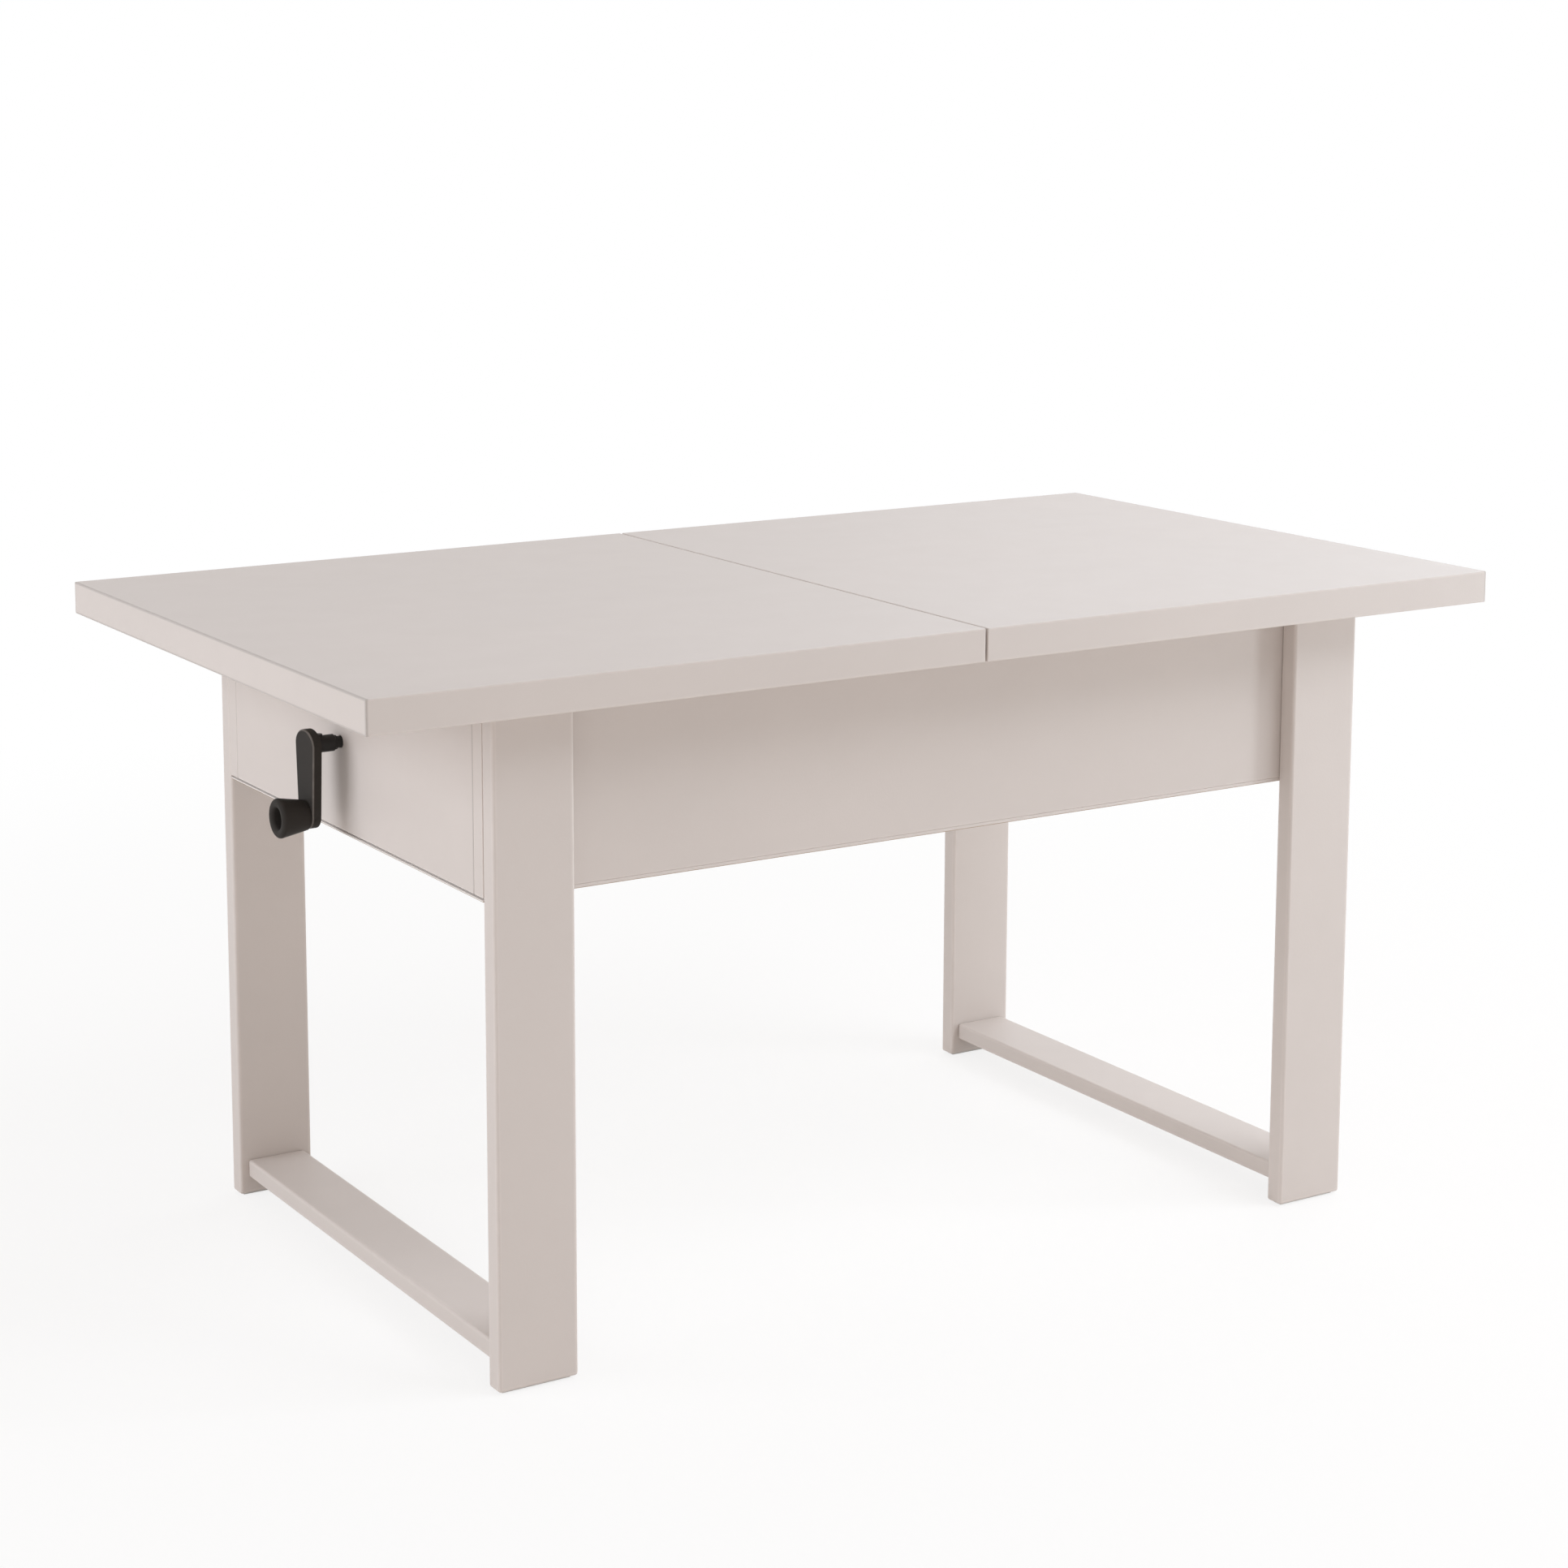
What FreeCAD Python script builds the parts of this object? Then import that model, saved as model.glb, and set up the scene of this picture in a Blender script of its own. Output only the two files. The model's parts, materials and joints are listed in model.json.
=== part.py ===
# Convertible coffee table: a board-legged base with a shallow box, a crank-driven scissor lift
# inside the box, and a two-part top that slides apart on rails to take a loose leaf.
# Millimetres. +X runs along the table, +Y to the rear, +Z up; the origin is on the floor,
# below the middle of the top. The crank is at the -X end.
import FreeCAD, Part
import math
import os

V = FreeCAD.Vector

# Table top
top_length = 1100.0
top_width = 600.0
top_thickness = 28.0
table_height = 570.0
top_edge_radius = 1.0
seam_gap = 2.0
top_rest_gap = 0.5

# Legs and their glides
leg_width = 70.0
leg_thickness = 18.0
leg_edge_radius = 2.5
end_overhang = 120.0
side_overhang = 36.0
glide_thickness = 2.0
glide_border = 5.0

# Stretchers
stretcher_width = 54.0
stretcher_thickness = 16.0
stretcher_underside = 18.0
stretcher_edge_radius = 2.0

# Box under the top
box_height = 148.5
panel_thickness = 15.0
panel_edge_radius = 0.6
bottom_sheet_thickness = 3.0

# Fastenings of the boards
bolt_radius = 3.0
bolt_head_radius = 7.0
bolt_head_height = 3.0
bolt_spacing = 70.0
insert_radius = 4.5
insert_depth = 12.0
dowel_radius = 4.0
dowel_in_face = 10.0
dowel_in_end = 20.0
stretcher_dowel_spacing = 28.0
panel_dowel_spacing = 96.0
fit_gap = 0.1
corner_bracket_leg = 30.0
corner_bracket_height = 40.0
corner_bracket_wall = 3.0

# Steel channels: one pair on the box, one pair on the lift frame
channel_height = 28.0
channel_depth = 18.0
channel_wall = 2.5
channel_bend_radius = 3.0
channel_lift = 3.0
frame_end_room = 40.0
frame_side_room = 2.0
channel_screw_radius = 2.0
channel_screw_head_radius = 4.0
channel_screw_head_height = 2.0
channel_screw_depth = 10.0
channel_screw_shares = (-0.46, -0.2, 0.05, 0.46)

# Scissor arms
lift_height = 180.0
arm_width = 24.0
arm_thickness = 6.0
arm_plane_gap = 0.6
channel_mouth_gap = 0.4
pivot_inset = 75.0
glide_inset = 122.0
torque_shaft_radius = 7.0
pin_radius = 5.0
pin_head_radius = 8.0
pin_head_height = 3.0
running_gap = 0.05
glide_gap = 0.3
glide_length = 11.0
pivot_block_length = 32.0
block_gap = 0.2
spreader_radius = 8.0
spreader_wall = 1.5
spreader_inset = 60.0

# Worm and sector
sector_teeth = 80
sector_margin_teeth = 3
sector_width = 8.0
sector_hub_radius = 14.0
sector_hub_width = 22.0
worm_turns = 7
worm_root_share = 1.2
tooth_addendum_share = 0.8
tooth_dedendum_share = 1.1
tooth_flank_degrees = 20.0
tooth_backlash = 0.35
thread_sink = 0.3
worm_shaft_radius = 6.0
worm_collar_radius = 8.0
worm_collar_width = 3.0
worm_bush_radius = 8.0
worm_bush_flange_radius = 10.0
worm_bush_flange = 2.0

# Welded frame that holds the worm over the sector
gear_plate = 4.0
gear_cheek_gap = 24.0
gear_wall = 8.0
gear_wall_reach = 37.0
gear_wall_share = 1 / 3
gear_frame_rise = 10.0
gear_frame_room = 16.5
gear_foot_half = 30.0
gear_foot_drop = 12.0
gear_shoulder_share = 0.3
gear_flange_width = 80.0
gear_screw_spacing_y = 62.0
gear_screw_share = 0.63
gear_screw_drop = 4.0

# Crank
crank_offset = 10.0
crank_radius = 58.0
crank_standoff = 24.5
crank_arm_thickness = 8.0
crank_arm_top_half = 18.0
crank_arm_top_rise = 13.5
crank_arm_low_half = 14.5
crank_arm_low_drop = 11.5
crank_arm_edge_radius = 1.5
crank_sleeve_radius = 7.1
crank_sleeve_edge = 0.8
crank_collar_radius = 4.9
crank_collar_show = 4.4
crank_step_radius = 6.0
crank_step_length = 1.6
crank_rivet_radius = 4.5
crank_rivet_depth = 5.0
crank_key_radius = 3.2
crank_key_rise = 1.4
crank_key_inset = 5.0
crank_hole_gap = 0.5
plug_flats = 7.0
plug_length = 43.0
plug_gap = 0.15
socket_room = 3.0

# Knob on the crank
knob_length = 26.0
knob_end_radius = 17.2
knob_neck_radius = 12.6
knob_rim_radius = 3.2
knob_recess_radius = 8.8
knob_recess_depth = 16.0
knob_gap = 0.3
knob_axle_radius = 4.0
knob_axle_head_radius = 7.0
knob_axle_head = 3.0

# Lift frame, slide rails and leaf
rail_height = 22.0
rail_width = 26.0
rail_wall = 2.5
rail_slot = 11.0
rail_end_wall = 3.0
frame_bar_height = 18.0
frame_bar_width = 30.0
frame_bar_wall = 2.0
frame_bar_inset = 45.0
bearer_width = 20.0
bearer_inset = 35.0
leaf_top_gap = 2.0
leaf_side_gap = 13.0

# Runners under the two halves of the top
runner_gap = 0.3
runner_plate = 5.0
runner_plate_gap = 2.0
runner_plate_width = 41.0
runner_seam_inset = 20.0
runner_screw_radius = 2.0
runner_screw_head_radius = 4.0
runner_screw_head_height = 2.0
runner_screw_depth = 15.0
runner_screw_edge = 7.5
runner_screw_shares = (0.1, 0.5, 0.9)

# Dowels across the seam of the top
seam_pin_radius = 4.0
seam_pin_reach = 20.0
seam_pin_gap = 0.3
seam_pin_shares = (-0.36, 0.0, 0.36)

# How far a cut runs past the face it opens, and how near counts as touching
overrun = 1.0
touch = 0.01

# Heights
top_underside = table_height - top_thickness
base_top = top_underside - top_rest_gap
box_underside = base_top - box_height
box_middle_z = (box_underside + base_top) / 2
rail_top = top_underside - runner_plate - runner_plate_gap
rail_bottom = rail_top - rail_height
upper_channel_bottom = rail_bottom - channel_height
base_channel_bottom = box_underside + channel_lift
lower_pivot_z = base_channel_bottom + channel_height / 2
upper_pivot_z = upper_channel_bottom + channel_height / 2
leaf_bottom = top_underside - leaf_top_gap - top_thickness
frame_bar_bottom = leaf_bottom - frame_bar_height

# Lengths, half the table each way
leg_outer_x = top_length / 2 - end_overhang
leg_inner_x = leg_outer_x - leg_width
leg_middle_x = leg_outer_x - leg_width / 2
box_inner_x = leg_outer_x - panel_thickness
frame_half = box_inner_x - frame_end_room
frame_bar_x = frame_half - frame_bar_inset

# Widths, half the table each way
leg_outer_y = top_width / 2 - side_overhang
panel_outer_y = leg_outer_y - leg_thickness
panel_inner_y = panel_outer_y - panel_thickness
base_mouth_y = panel_inner_y - channel_depth
frame_outer_y = panel_inner_y - frame_side_room
frame_mouth_y = frame_outer_y - channel_depth
outer_arm_y = (frame_mouth_y - channel_mouth_gap - arm_thickness, frame_mouth_y - channel_mouth_gap)
inner_arm_y = (outer_arm_y[0] - arm_plane_gap - arm_thickness, outer_arm_y[0] - arm_plane_gap)
rail_inner_y = frame_outer_y - rail_width
runner_screw_y = frame_outer_y - runner_plate_width + runner_screw_edge

# Scissor: the driven arms turn at the pivot, their far ends glide in the lift frame
pivot_x = -(frame_half - pivot_inset)
glide_x = frame_half - glide_inset
arm_length = math.hypot(glide_x - pivot_x, upper_pivot_z - lower_pivot_z)
rest_angle = math.asin((upper_pivot_z - lower_pivot_z) / arm_length)
lift_angle = math.asin((upper_pivot_z - lower_pivot_z + lift_height) / arm_length) - rest_angle

# Gear pair: the module fills the height between the pivot and the lift frame's cross tubes
gear_top = frame_bar_bottom - gear_frame_room
crank_z = gear_top - gear_frame_rise
gear_module = (crank_z - lower_pivot_z - worm_shaft_radius) / (sector_teeth / 2 + worm_root_share)
sector_pitch_radius = gear_module * sector_teeth / 2
worm_pitch_radius = worm_shaft_radius + gear_module * worm_root_share
gear_pitch = math.pi * gear_module
tooth_addendum = gear_module * tooth_addendum_share
tooth_dedendum = gear_module * tooth_dedendum_share
knob_z = crank_z - crank_radius
gear_shoulder_z = lower_pivot_z + gear_shoulder_share * (gear_top - lower_pivot_z)
gear_wall_height = gear_wall_share * (gear_top - lower_pivot_z)
gear_end_x = pivot_x + gear_wall_reach + gear_wall

# Crank, outwards from the end panel
crank_arm_inner_x = -leg_outer_x - crank_standoff
crank_arm_outer_x = crank_arm_inner_x - crank_arm_thickness
plug_start_x = -box_inner_x - gear_plate / 2
plug_end_x = plug_start_x + plug_length
worm_start_x = -box_inner_x + gear_plate / 2

# Leaf, stowed a quarter turn round between the runners; the halves part by its width
leaf_length = top_width
slide_travel = frame_outer_y - runner_plate_width - leaf_side_gap
leaf_width = slide_travel + slide_travel


def slab(xs, ys, zs):
    """Box between two values on each axis, in any order."""
    low = V(min(xs), min(ys), min(zs))
    high = V(max(xs), max(ys), max(zs))
    return Part.makeBox(high.x - low.x, high.y - low.y, high.z - low.z, low)


def rod_x(radius, xs, y, z):
    return Part.makeCylinder(radius, max(xs) - min(xs), V(min(xs), y, z), V(1, 0, 0))


def rod_y(radius, ys, x, z):
    return Part.makeCylinder(radius, max(ys) - min(ys), V(x, min(ys), z), V(0, 1, 0))


def rod_z(radius, zs, x, y):
    return Part.makeCylinder(radius, max(zs) - min(zs), V(x, y, min(zs)), V(0, 0, 1))


def joined(shapes):
    """One solid from overlapping or touching ones, with no seams left between them."""
    return shapes[0].fuse(shapes[1:]).removeSplitter()


def cut_all(shape, tools):
    return shape.cut(tools) if tools else shape


def rounded(shape, radius, chosen):
    """Fillet the edges that the test picks."""
    return shape.makeFillet(radius, [edge for edge in shape.Edges if chosen(edge)])


def runs_along(edge, axis):
    """True for a straight edge parallel to the axis named x, y or z."""
    box = edge.BoundBox
    lengths = {"x": box.XLength, "y": box.YLength, "z": box.ZLength}
    return all(length < touch for name, length in lengths.items() if name != axis)


def group(shapes):
    return Part.makeCompound(shapes)


def sides():
    """Front and rear, as the sign of Y."""
    return (("front", -1), ("rear", 1))


def ends():
    """Left and right, as the sign of X."""
    return (("left", -1), ("right", 1))


def corners():
    return [(end, side) for _, end in ends() for _, side in sides()]


def bolt_heights():
    return (box_middle_z - bolt_spacing / 2, box_middle_z + bolt_spacing / 2)


def stretcher_dowel_places():
    """X and Z of the two dowels in each end of the stretcher on the left."""
    z = stretcher_underside + stretcher_thickness / 2
    return [(leg_middle_x + step * stretcher_dowel_spacing / 2, z) for step in (-1, 1)]


def panel_dowel_heights():
    return (box_middle_z - panel_dowel_spacing / 2, box_middle_z + panel_dowel_spacing / 2)


def leg(end, side):
    """Flat board with softened edges, drilled on its inner face for inserts and dowels."""
    board = slab((end * leg_inner_x, end * leg_outer_x), (side * panel_outer_y, side * leg_outer_y),
                 (glide_thickness, base_top))
    board = rounded(board, leg_edge_radius, lambda edge: edge.BoundBox.ZMin < base_top - touch)
    start = side * (panel_outer_y - overrun)
    insert_reach = (start, side * (panel_outer_y + insert_depth))
    holes = [rod_y(insert_radius + fit_gap, insert_reach, end * leg_middle_x, z) for z in bolt_heights()]
    holes += [rod_y(dowel_radius + fit_gap, (start, side * (panel_outer_y + dowel_in_face)), end * x, z)
              for x, z in stretcher_dowel_places()]
    return cut_all(board, holes)


def foot_glide(end, side):
    border = glide_border
    return slab((end * (leg_inner_x + border), end * (leg_outer_x - border)),
                (side * (panel_outer_y + border), side * (leg_outer_y - border)), (0, glide_thickness))


def stretcher(end):
    """Low rail between the two legs of one end, lying flat."""
    half = stretcher_width / 2
    board = slab((end * leg_middle_x - half, end * leg_middle_x + half), (-panel_outer_y, panel_outer_y),
                 (stretcher_underside, stretcher_underside + stretcher_thickness))
    board = rounded(board, stretcher_edge_radius, lambda edge: runs_along(edge, "y"))
    holes = []
    for _, side in sides():
        for x, z in stretcher_dowel_places():
            reach = (side * (panel_outer_y + overrun), side * (panel_outer_y - dowel_in_end))
            holes.append(rod_y(dowel_radius + fit_gap, reach, end * x, z))
    return cut_all(board, holes)


def stretcher_dowel_group():
    reach = (panel_outer_y - dowel_in_end, panel_outer_y + dowel_in_face)
    return group([rod_y(dowel_radius, (side * reach[0], side * reach[1]), end * x, z)
                  for end, side in corners() for x, z in stretcher_dowel_places()])


def side_panel(side):
    """Long board of the box; its ends show beside the end panels."""
    board = slab((-leg_outer_x, leg_outer_x), (side * panel_inner_y, side * panel_outer_y),
                 (box_underside, base_top))
    board = rounded(board, panel_edge_radius, lambda edge: runs_along(edge, "z"))
    through = (side * (panel_inner_y - overrun), side * (panel_outer_y + overrun))
    holes = [rod_y(bolt_radius + fit_gap, through, end * leg_middle_x, z)
             for _, end in ends() for z in bolt_heights()]
    blind = (side * (panel_inner_y - overrun), side * (panel_inner_y + dowel_in_face))
    middle_x = leg_outer_x - panel_thickness / 2
    holes += [rod_y(dowel_radius + fit_gap, blind, end * middle_x, z)
              for _, end in ends() for z in panel_dowel_heights()]
    screw = (side * (panel_inner_y - overrun), side * (panel_inner_y + channel_screw_depth))
    holes += [rod_y(channel_screw_radius + fit_gap, screw, x, lower_pivot_z) for x in channel_screw_places()]
    return cut_all(board, holes)


def end_panel(end):
    """Short board between the long ones; the left one has the crank hole."""
    board = slab((end * box_inner_x, end * leg_outer_x), (-panel_inner_y, panel_inner_y),
                 (box_underside, base_top))
    board = rounded(board, panel_edge_radius, lambda edge: runs_along(edge, "z"))
    holes = []
    middle_x = leg_outer_x - panel_thickness / 2
    for _, side in sides():
        reach = (side * (panel_inner_y + overrun), side * (panel_inner_y - dowel_in_end))
        holes += [rod_y(dowel_radius + fit_gap, reach, end * middle_x, z) for z in panel_dowel_heights()]
    if end < 0:
        through = (-leg_outer_x - overrun, -box_inner_x + overrun)
        holes.append(rod_x(crank_collar_radius + crank_hole_gap, through, crank_offset, crank_z))
        screw = (-box_inner_x + overrun, -box_inner_x - channel_screw_depth)
        holes += [rod_x(channel_screw_radius + fit_gap, screw, y, z) for y, z in gear_screw_places()]
    return cut_all(board, holes)


def panel_dowel_group():
    reach = (panel_inner_y - dowel_in_end, panel_inner_y + dowel_in_face)
    middle_x = leg_outer_x - panel_thickness / 2
    return group([rod_y(dowel_radius, (side * reach[0], side * reach[1]), end * middle_x, z)
                  for end, side in corners() for z in panel_dowel_heights()])


def bottom_sheet():
    """Thin sheet under the box, flush with its outer faces."""
    return slab((-leg_outer_x, leg_outer_x), (-panel_outer_y, panel_outer_y),
                (box_underside - bottom_sheet_thickness, box_underside))


def leg_bolt(end, side, z):
    """Flat-headed bolt from inside the box into the leg's insert."""
    x = end * leg_middle_x
    start = side * (panel_inner_y - bolt_head_height)
    head = rod_y(bolt_head_radius, (start, side * panel_inner_y), x, z)
    shank = rod_y(bolt_radius, (start, side * (panel_outer_y + insert_depth)), x, z)
    return joined([head, shank])


def leg_insert(end, side, z):
    x = end * leg_middle_x
    sleeve = rod_y(insert_radius, (side * panel_outer_y, side * (panel_outer_y + insert_depth)), x, z)
    through = (side * (panel_outer_y - overrun), side * (panel_outer_y + insert_depth + overrun))
    return sleeve.cut(rod_y(bolt_radius + fit_gap, through, x, z))


def corner_bracket(end, side):
    """Steel angle screwed into one corner of the box."""
    zs = (box_middle_z - corner_bracket_height / 2, box_middle_z + corner_bracket_height / 2)
    corner_x, corner_y = end * box_inner_x, side * panel_inner_y
    long_leg = slab((corner_x - end * corner_bracket_leg, corner_x),
                    (corner_y - side * corner_bracket_wall, corner_y), zs)
    short_leg = slab((corner_x - end * corner_bracket_wall, corner_x),
                     (corner_y - side * corner_bracket_leg, corner_y), zs)
    return joined([long_leg, short_leg])


def channel_screw_places():
    return [share * (frame_half + frame_half) for share in channel_screw_shares]


def channel(side, web_y, bottom):
    """Steel C-channel along X, its mouth towards the middle of the table."""
    mouth_y = web_y - channel_depth
    body = slab((-frame_half, frame_half), (side * mouth_y, side * web_y), (bottom, bottom + channel_height))

    def is_bend(edge):
        return runs_along(edge, "x") and abs(edge.BoundBox.YMin - side * web_y) < touch

    body = rounded(body, channel_bend_radius, is_bend)
    hollow = slab((-frame_half - overrun, frame_half + overrun),
                  (side * (mouth_y - overrun), side * (web_y - channel_wall)),
                  (bottom + channel_wall, bottom + channel_height - channel_wall))
    return body.cut(hollow)


def base_channel(side):
    through = (side * (panel_inner_y - channel_wall - overrun), side * (panel_inner_y + overrun))
    holes = [rod_y(channel_screw_radius + fit_gap, through, x, lower_pivot_z) for x in channel_screw_places()]
    return cut_all(channel(side, panel_inner_y, base_channel_bottom), holes)


def channel_screw(side, x):
    web = panel_inner_y - channel_wall
    start = side * (web - channel_screw_head_height)
    head = rod_y(channel_screw_head_radius, (start, side * web), x, lower_pivot_z)
    tip = side * (panel_inner_y + channel_screw_depth)
    shank = rod_y(channel_screw_radius, (start, tip), x, lower_pivot_z)
    return joined([head, shank])


def pivot_block(side, web_y, z, bore_radius):
    """Nylon block that fills a channel at the pivot and carries a shaft end or a pin."""
    half = pivot_block_length / 2
    inner_half = channel_height / 2 - channel_wall - block_gap
    ys = (side * (web_y - channel_depth + block_gap), side * (web_y - channel_wall - block_gap))
    block = slab((pivot_x - half, pivot_x + half), ys, (z - inner_half, z + inner_half))
    through = (ys[0] - side * overrun, ys[1] + side * overrun)
    return block.cut(rod_y(bore_radius + running_gap, through, pivot_x, z))


def arm_bar(ys, hole_radii):
    """Flat bar with round ends along +X from the origin, with holes at its start, middle and end."""
    half = arm_width / 2
    plane = min(ys)
    low_start, low_end = V(0, plane, -half), V(arm_length, plane, -half)
    high_start, high_end = V(0, plane, half), V(arm_length, plane, half)
    outline = Part.Wire([Part.LineSegment(low_start, low_end).toShape(),
                         Part.Arc(low_end, V(arm_length + half, plane, 0), high_end).toShape(),
                         Part.LineSegment(high_end, high_start).toShape(),
                         Part.Arc(high_start, V(-half, plane, 0), low_start).toShape()])
    bar = Part.Face(outline).extrude(V(0, max(ys) - plane, 0))
    through = (plane - overrun, max(ys) + overrun)
    places = (0, arm_length / 2, arm_length)
    return cut_all(bar, [rod_y(radius, through, x, 0) for radius, x in zip(hole_radii, places)])


def drive_arm(side):
    """Driven arm: low end on the torque shaft, high end gliding in the lift frame."""
    ys = (side * inner_arm_y[0], side * inner_arm_y[1])
    bar = arm_bar(ys, (torque_shaft_radius + fit_gap, pin_radius + fit_gap, pin_radius + fit_gap))
    bar.rotate(V(0, 0, 0), V(0, -1, 0), math.degrees(rest_angle))
    bar.translate(V(pivot_x, 0, lower_pivot_z))
    return bar


def follower_arm(side):
    """Following arm: high end pinned to the lift frame, low end gliding in the base channel."""
    ys = (side * outer_arm_y[0], side * outer_arm_y[1])
    bar = arm_bar(ys, (pin_radius + fit_gap, pin_radius + running_gap, pin_radius + fit_gap))
    bar.rotate(V(0, 0, 0), V(0, 1, 0), math.degrees(rest_angle))
    bar.translate(V(pivot_x, 0, upper_pivot_z))
    return bar


def centre_pin(side):
    """Riveted pin that holds the two arms together where they cross."""
    x = (pivot_x + glide_x) / 2
    z = (lower_pivot_z + upper_pivot_z) / 2
    inner, outer = inner_arm_y[0], outer_arm_y[1] + block_gap
    shank = rod_y(pin_radius, (side * (inner - pin_head_height), side * (outer + pin_head_height)), x, z)
    inner_head = rod_y(pin_head_radius, (side * (inner - pin_head_height), side * inner), x, z)
    outer_head = rod_y(pin_head_radius, (side * outer, side * (outer + pin_head_height)), x, z)
    return joined([shank, inner_head, outer_head])


def arm_glide(side, arm_y, mouth_y, z):
    """Nylon glide that runs in a channel, with a spigot through the arm's end."""
    disc_radius = channel_height / 2 - channel_wall - glide_gap
    start = mouth_y + block_gap
    disc = rod_y(disc_radius, (side * start, side * (start + glide_length)), glide_x, z)
    spigot = rod_y(pin_radius, (side * arm_y[0], side * (mouth_y + glide_length)), glide_x, z)
    return joined([disc, spigot])


def upper_pin(side):
    """Pin from the following arm's high end into the lift frame's pivot block."""
    inner, outer = outer_arm_y[0], frame_outer_y - channel_wall - block_gap
    shank = rod_y(pin_radius, (side * inner, side * outer), pivot_x, upper_pivot_z)
    head = rod_y(pin_head_radius, (side * (inner - pin_head_height), side * inner), pivot_x, upper_pivot_z)
    return joined([shank, head])


def torque_shaft():
    half = panel_inner_y - channel_wall - channel_screw_head_height
    return rod_y(torque_shaft_radius, (-half, half), pivot_x, lower_pivot_z)


def follower_spreader():
    """Tube that keeps the two following arms in step."""
    x = glide_x - spreader_inset * math.cos(rest_angle)
    z = lower_pivot_z + spreader_inset * math.sin(rest_angle)
    half = outer_arm_y[0]
    outer = rod_y(spreader_radius, (-half, half), x, z)
    return outer.cut(rod_y(spreader_radius - spreader_wall, (-half - overrun, half + overrun), x, z))


def tooth_half_width(height):
    """Half a tooth at a height above the pitch line; the same flank serves thread and sector."""
    slope = math.tan(math.radians(tooth_flank_degrees))
    return gear_pitch / 4 - tooth_backlash / 2 - height * slope


def sector_point(radius, angle):
    return V(radius * math.cos(angle), 0, radius * math.sin(angle))


def sector_gear():
    """Toothed sector on the torque shaft, its teeth slanted to the worm's lead."""
    pitch_angle = math.tau / sector_teeth
    first = -math.ceil(lift_angle / pitch_angle) - sector_margin_teeth
    outline = [V(0, 0, 0)]
    for number in range(first, sector_margin_teeth + 1):
        middle = math.pi / 2 + number * pitch_angle
        root = tooth_half_width(-tooth_dedendum) / sector_pitch_radius
        tip = tooth_half_width(tooth_addendum) / sector_pitch_radius
        outline += [sector_point(sector_pitch_radius - tooth_dedendum, middle - root),
                    sector_point(sector_pitch_radius + tooth_addendum, middle - tip),
                    sector_point(sector_pitch_radius + tooth_addendum, middle + tip),
                    sector_point(sector_pitch_radius - tooth_dedendum, middle + root)]
    slant = sector_width * gear_pitch / (math.tau * worm_pitch_radius)
    plate = Part.Face(Part.makePolygon(outline + outline[:1])).extrude(V(slant, sector_width, 0))
    plate.translate(V(pivot_x - slant / 2, crank_offset - sector_width / 2, lower_pivot_z))
    hub_half = sector_hub_width / 2
    hub = rod_y(sector_hub_radius, (crank_offset - hub_half, crank_offset + hub_half), pivot_x, lower_pivot_z)
    bore = (crank_offset - hub_half - overrun, crank_offset + hub_half + overrun)
    return plate.fuse(hub).cut(rod_y(torque_shaft_radius + fit_gap, bore, pivot_x, lower_pivot_z))


def worm():
    """Right-hand worm in one piece with its shaft; a hexagon socket takes the crank's plug."""
    root = worm_pitch_radius - tooth_dedendum
    length = worm_turns * gear_pitch
    at_root = tooth_half_width(-tooth_dedendum - thread_sink)
    at_tip = tooth_half_width(tooth_addendum)
    tip = worm_pitch_radius + tooth_addendum
    sunk = root - thread_sink
    section = [V(sunk, 0, -at_root), V(tip, 0, -at_tip), V(tip, 0, at_tip), V(sunk, 0, at_root)]
    sweep = Part.BRepOffsetAPI.MakePipeShell(Part.Wire(Part.makeHelix(gear_pitch, length, root).Edges))
    sweep.setFrenetMode(True)
    sweep.add(Part.makePolygon(section + section[:1]))
    sweep.build()
    sweep.makeSolid()
    thread = sweep.shape()
    thread.rotate(V(0, 0, 0), V(0, 1, 0), 90)
    thread.translate(V(pivot_x - length / 2, crank_offset, crank_z))
    core_half = length / 2 + gear_pitch / 2
    core = rod_x(root, (pivot_x - core_half, pivot_x + core_half), crank_offset, crank_z)
    shaft = rod_x(worm_shaft_radius, (worm_start_x, gear_end_x + worm_collar_width), crank_offset, crank_z)
    collars = []
    for _, end in ends():
        face = pivot_x + end * (gear_wall_reach - worm_bush_flange - block_gap)
        collar = (face, face - end * worm_collar_width)
        collars.append(rod_x(worm_collar_radius, collar, crank_offset, crank_z))
    body = shaft.fuse([core, thread] + collars)
    return body.cut(hexagon(plug_flats / 2 + plug_gap, (worm_start_x - overrun, plug_end_x + socket_room)))


def hexagon(half_flats, xs):
    """Hexagon prism along X on the crank's axis, with a flat on top."""
    corner_radius = half_flats / math.cos(math.pi / 6)
    points = []
    for number in range(6):
        angle = number * math.pi / 3
        y = crank_offset + corner_radius * math.cos(angle)
        points.append(V(min(xs), y, crank_z + corner_radius * math.sin(angle)))
    return Part.Face(Part.makePolygon(points + points[:1])).extrude(V(max(xs) - min(xs), 0, 0))


def worm_bush(end):
    """Flanged bronze bush of the worm shaft."""
    face = pivot_x + end * gear_wall_reach
    barrel = rod_x(worm_bush_radius, (face, face + end * gear_wall), crank_offset, crank_z)
    flange = rod_x(worm_bush_flange_radius, (face, face - end * worm_bush_flange), crank_offset, crank_z)
    bore = (face - end * (worm_bush_flange + overrun), face + end * (gear_wall + overrun))
    return joined([barrel, flange]).cut(rod_x(worm_shaft_radius + running_gap, bore, crank_offset, crank_z))


def gear_screw_places():
    """Y and Z of the four screws through the gear frame's flange."""
    high = gear_top - gear_screw_drop
    low = high - gear_screw_share * (gear_top - gear_shoulder_z)
    return [(crank_offset + step * gear_screw_spacing_y / 2, z) for step in (-1, 1) for z in (high, low)]


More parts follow.
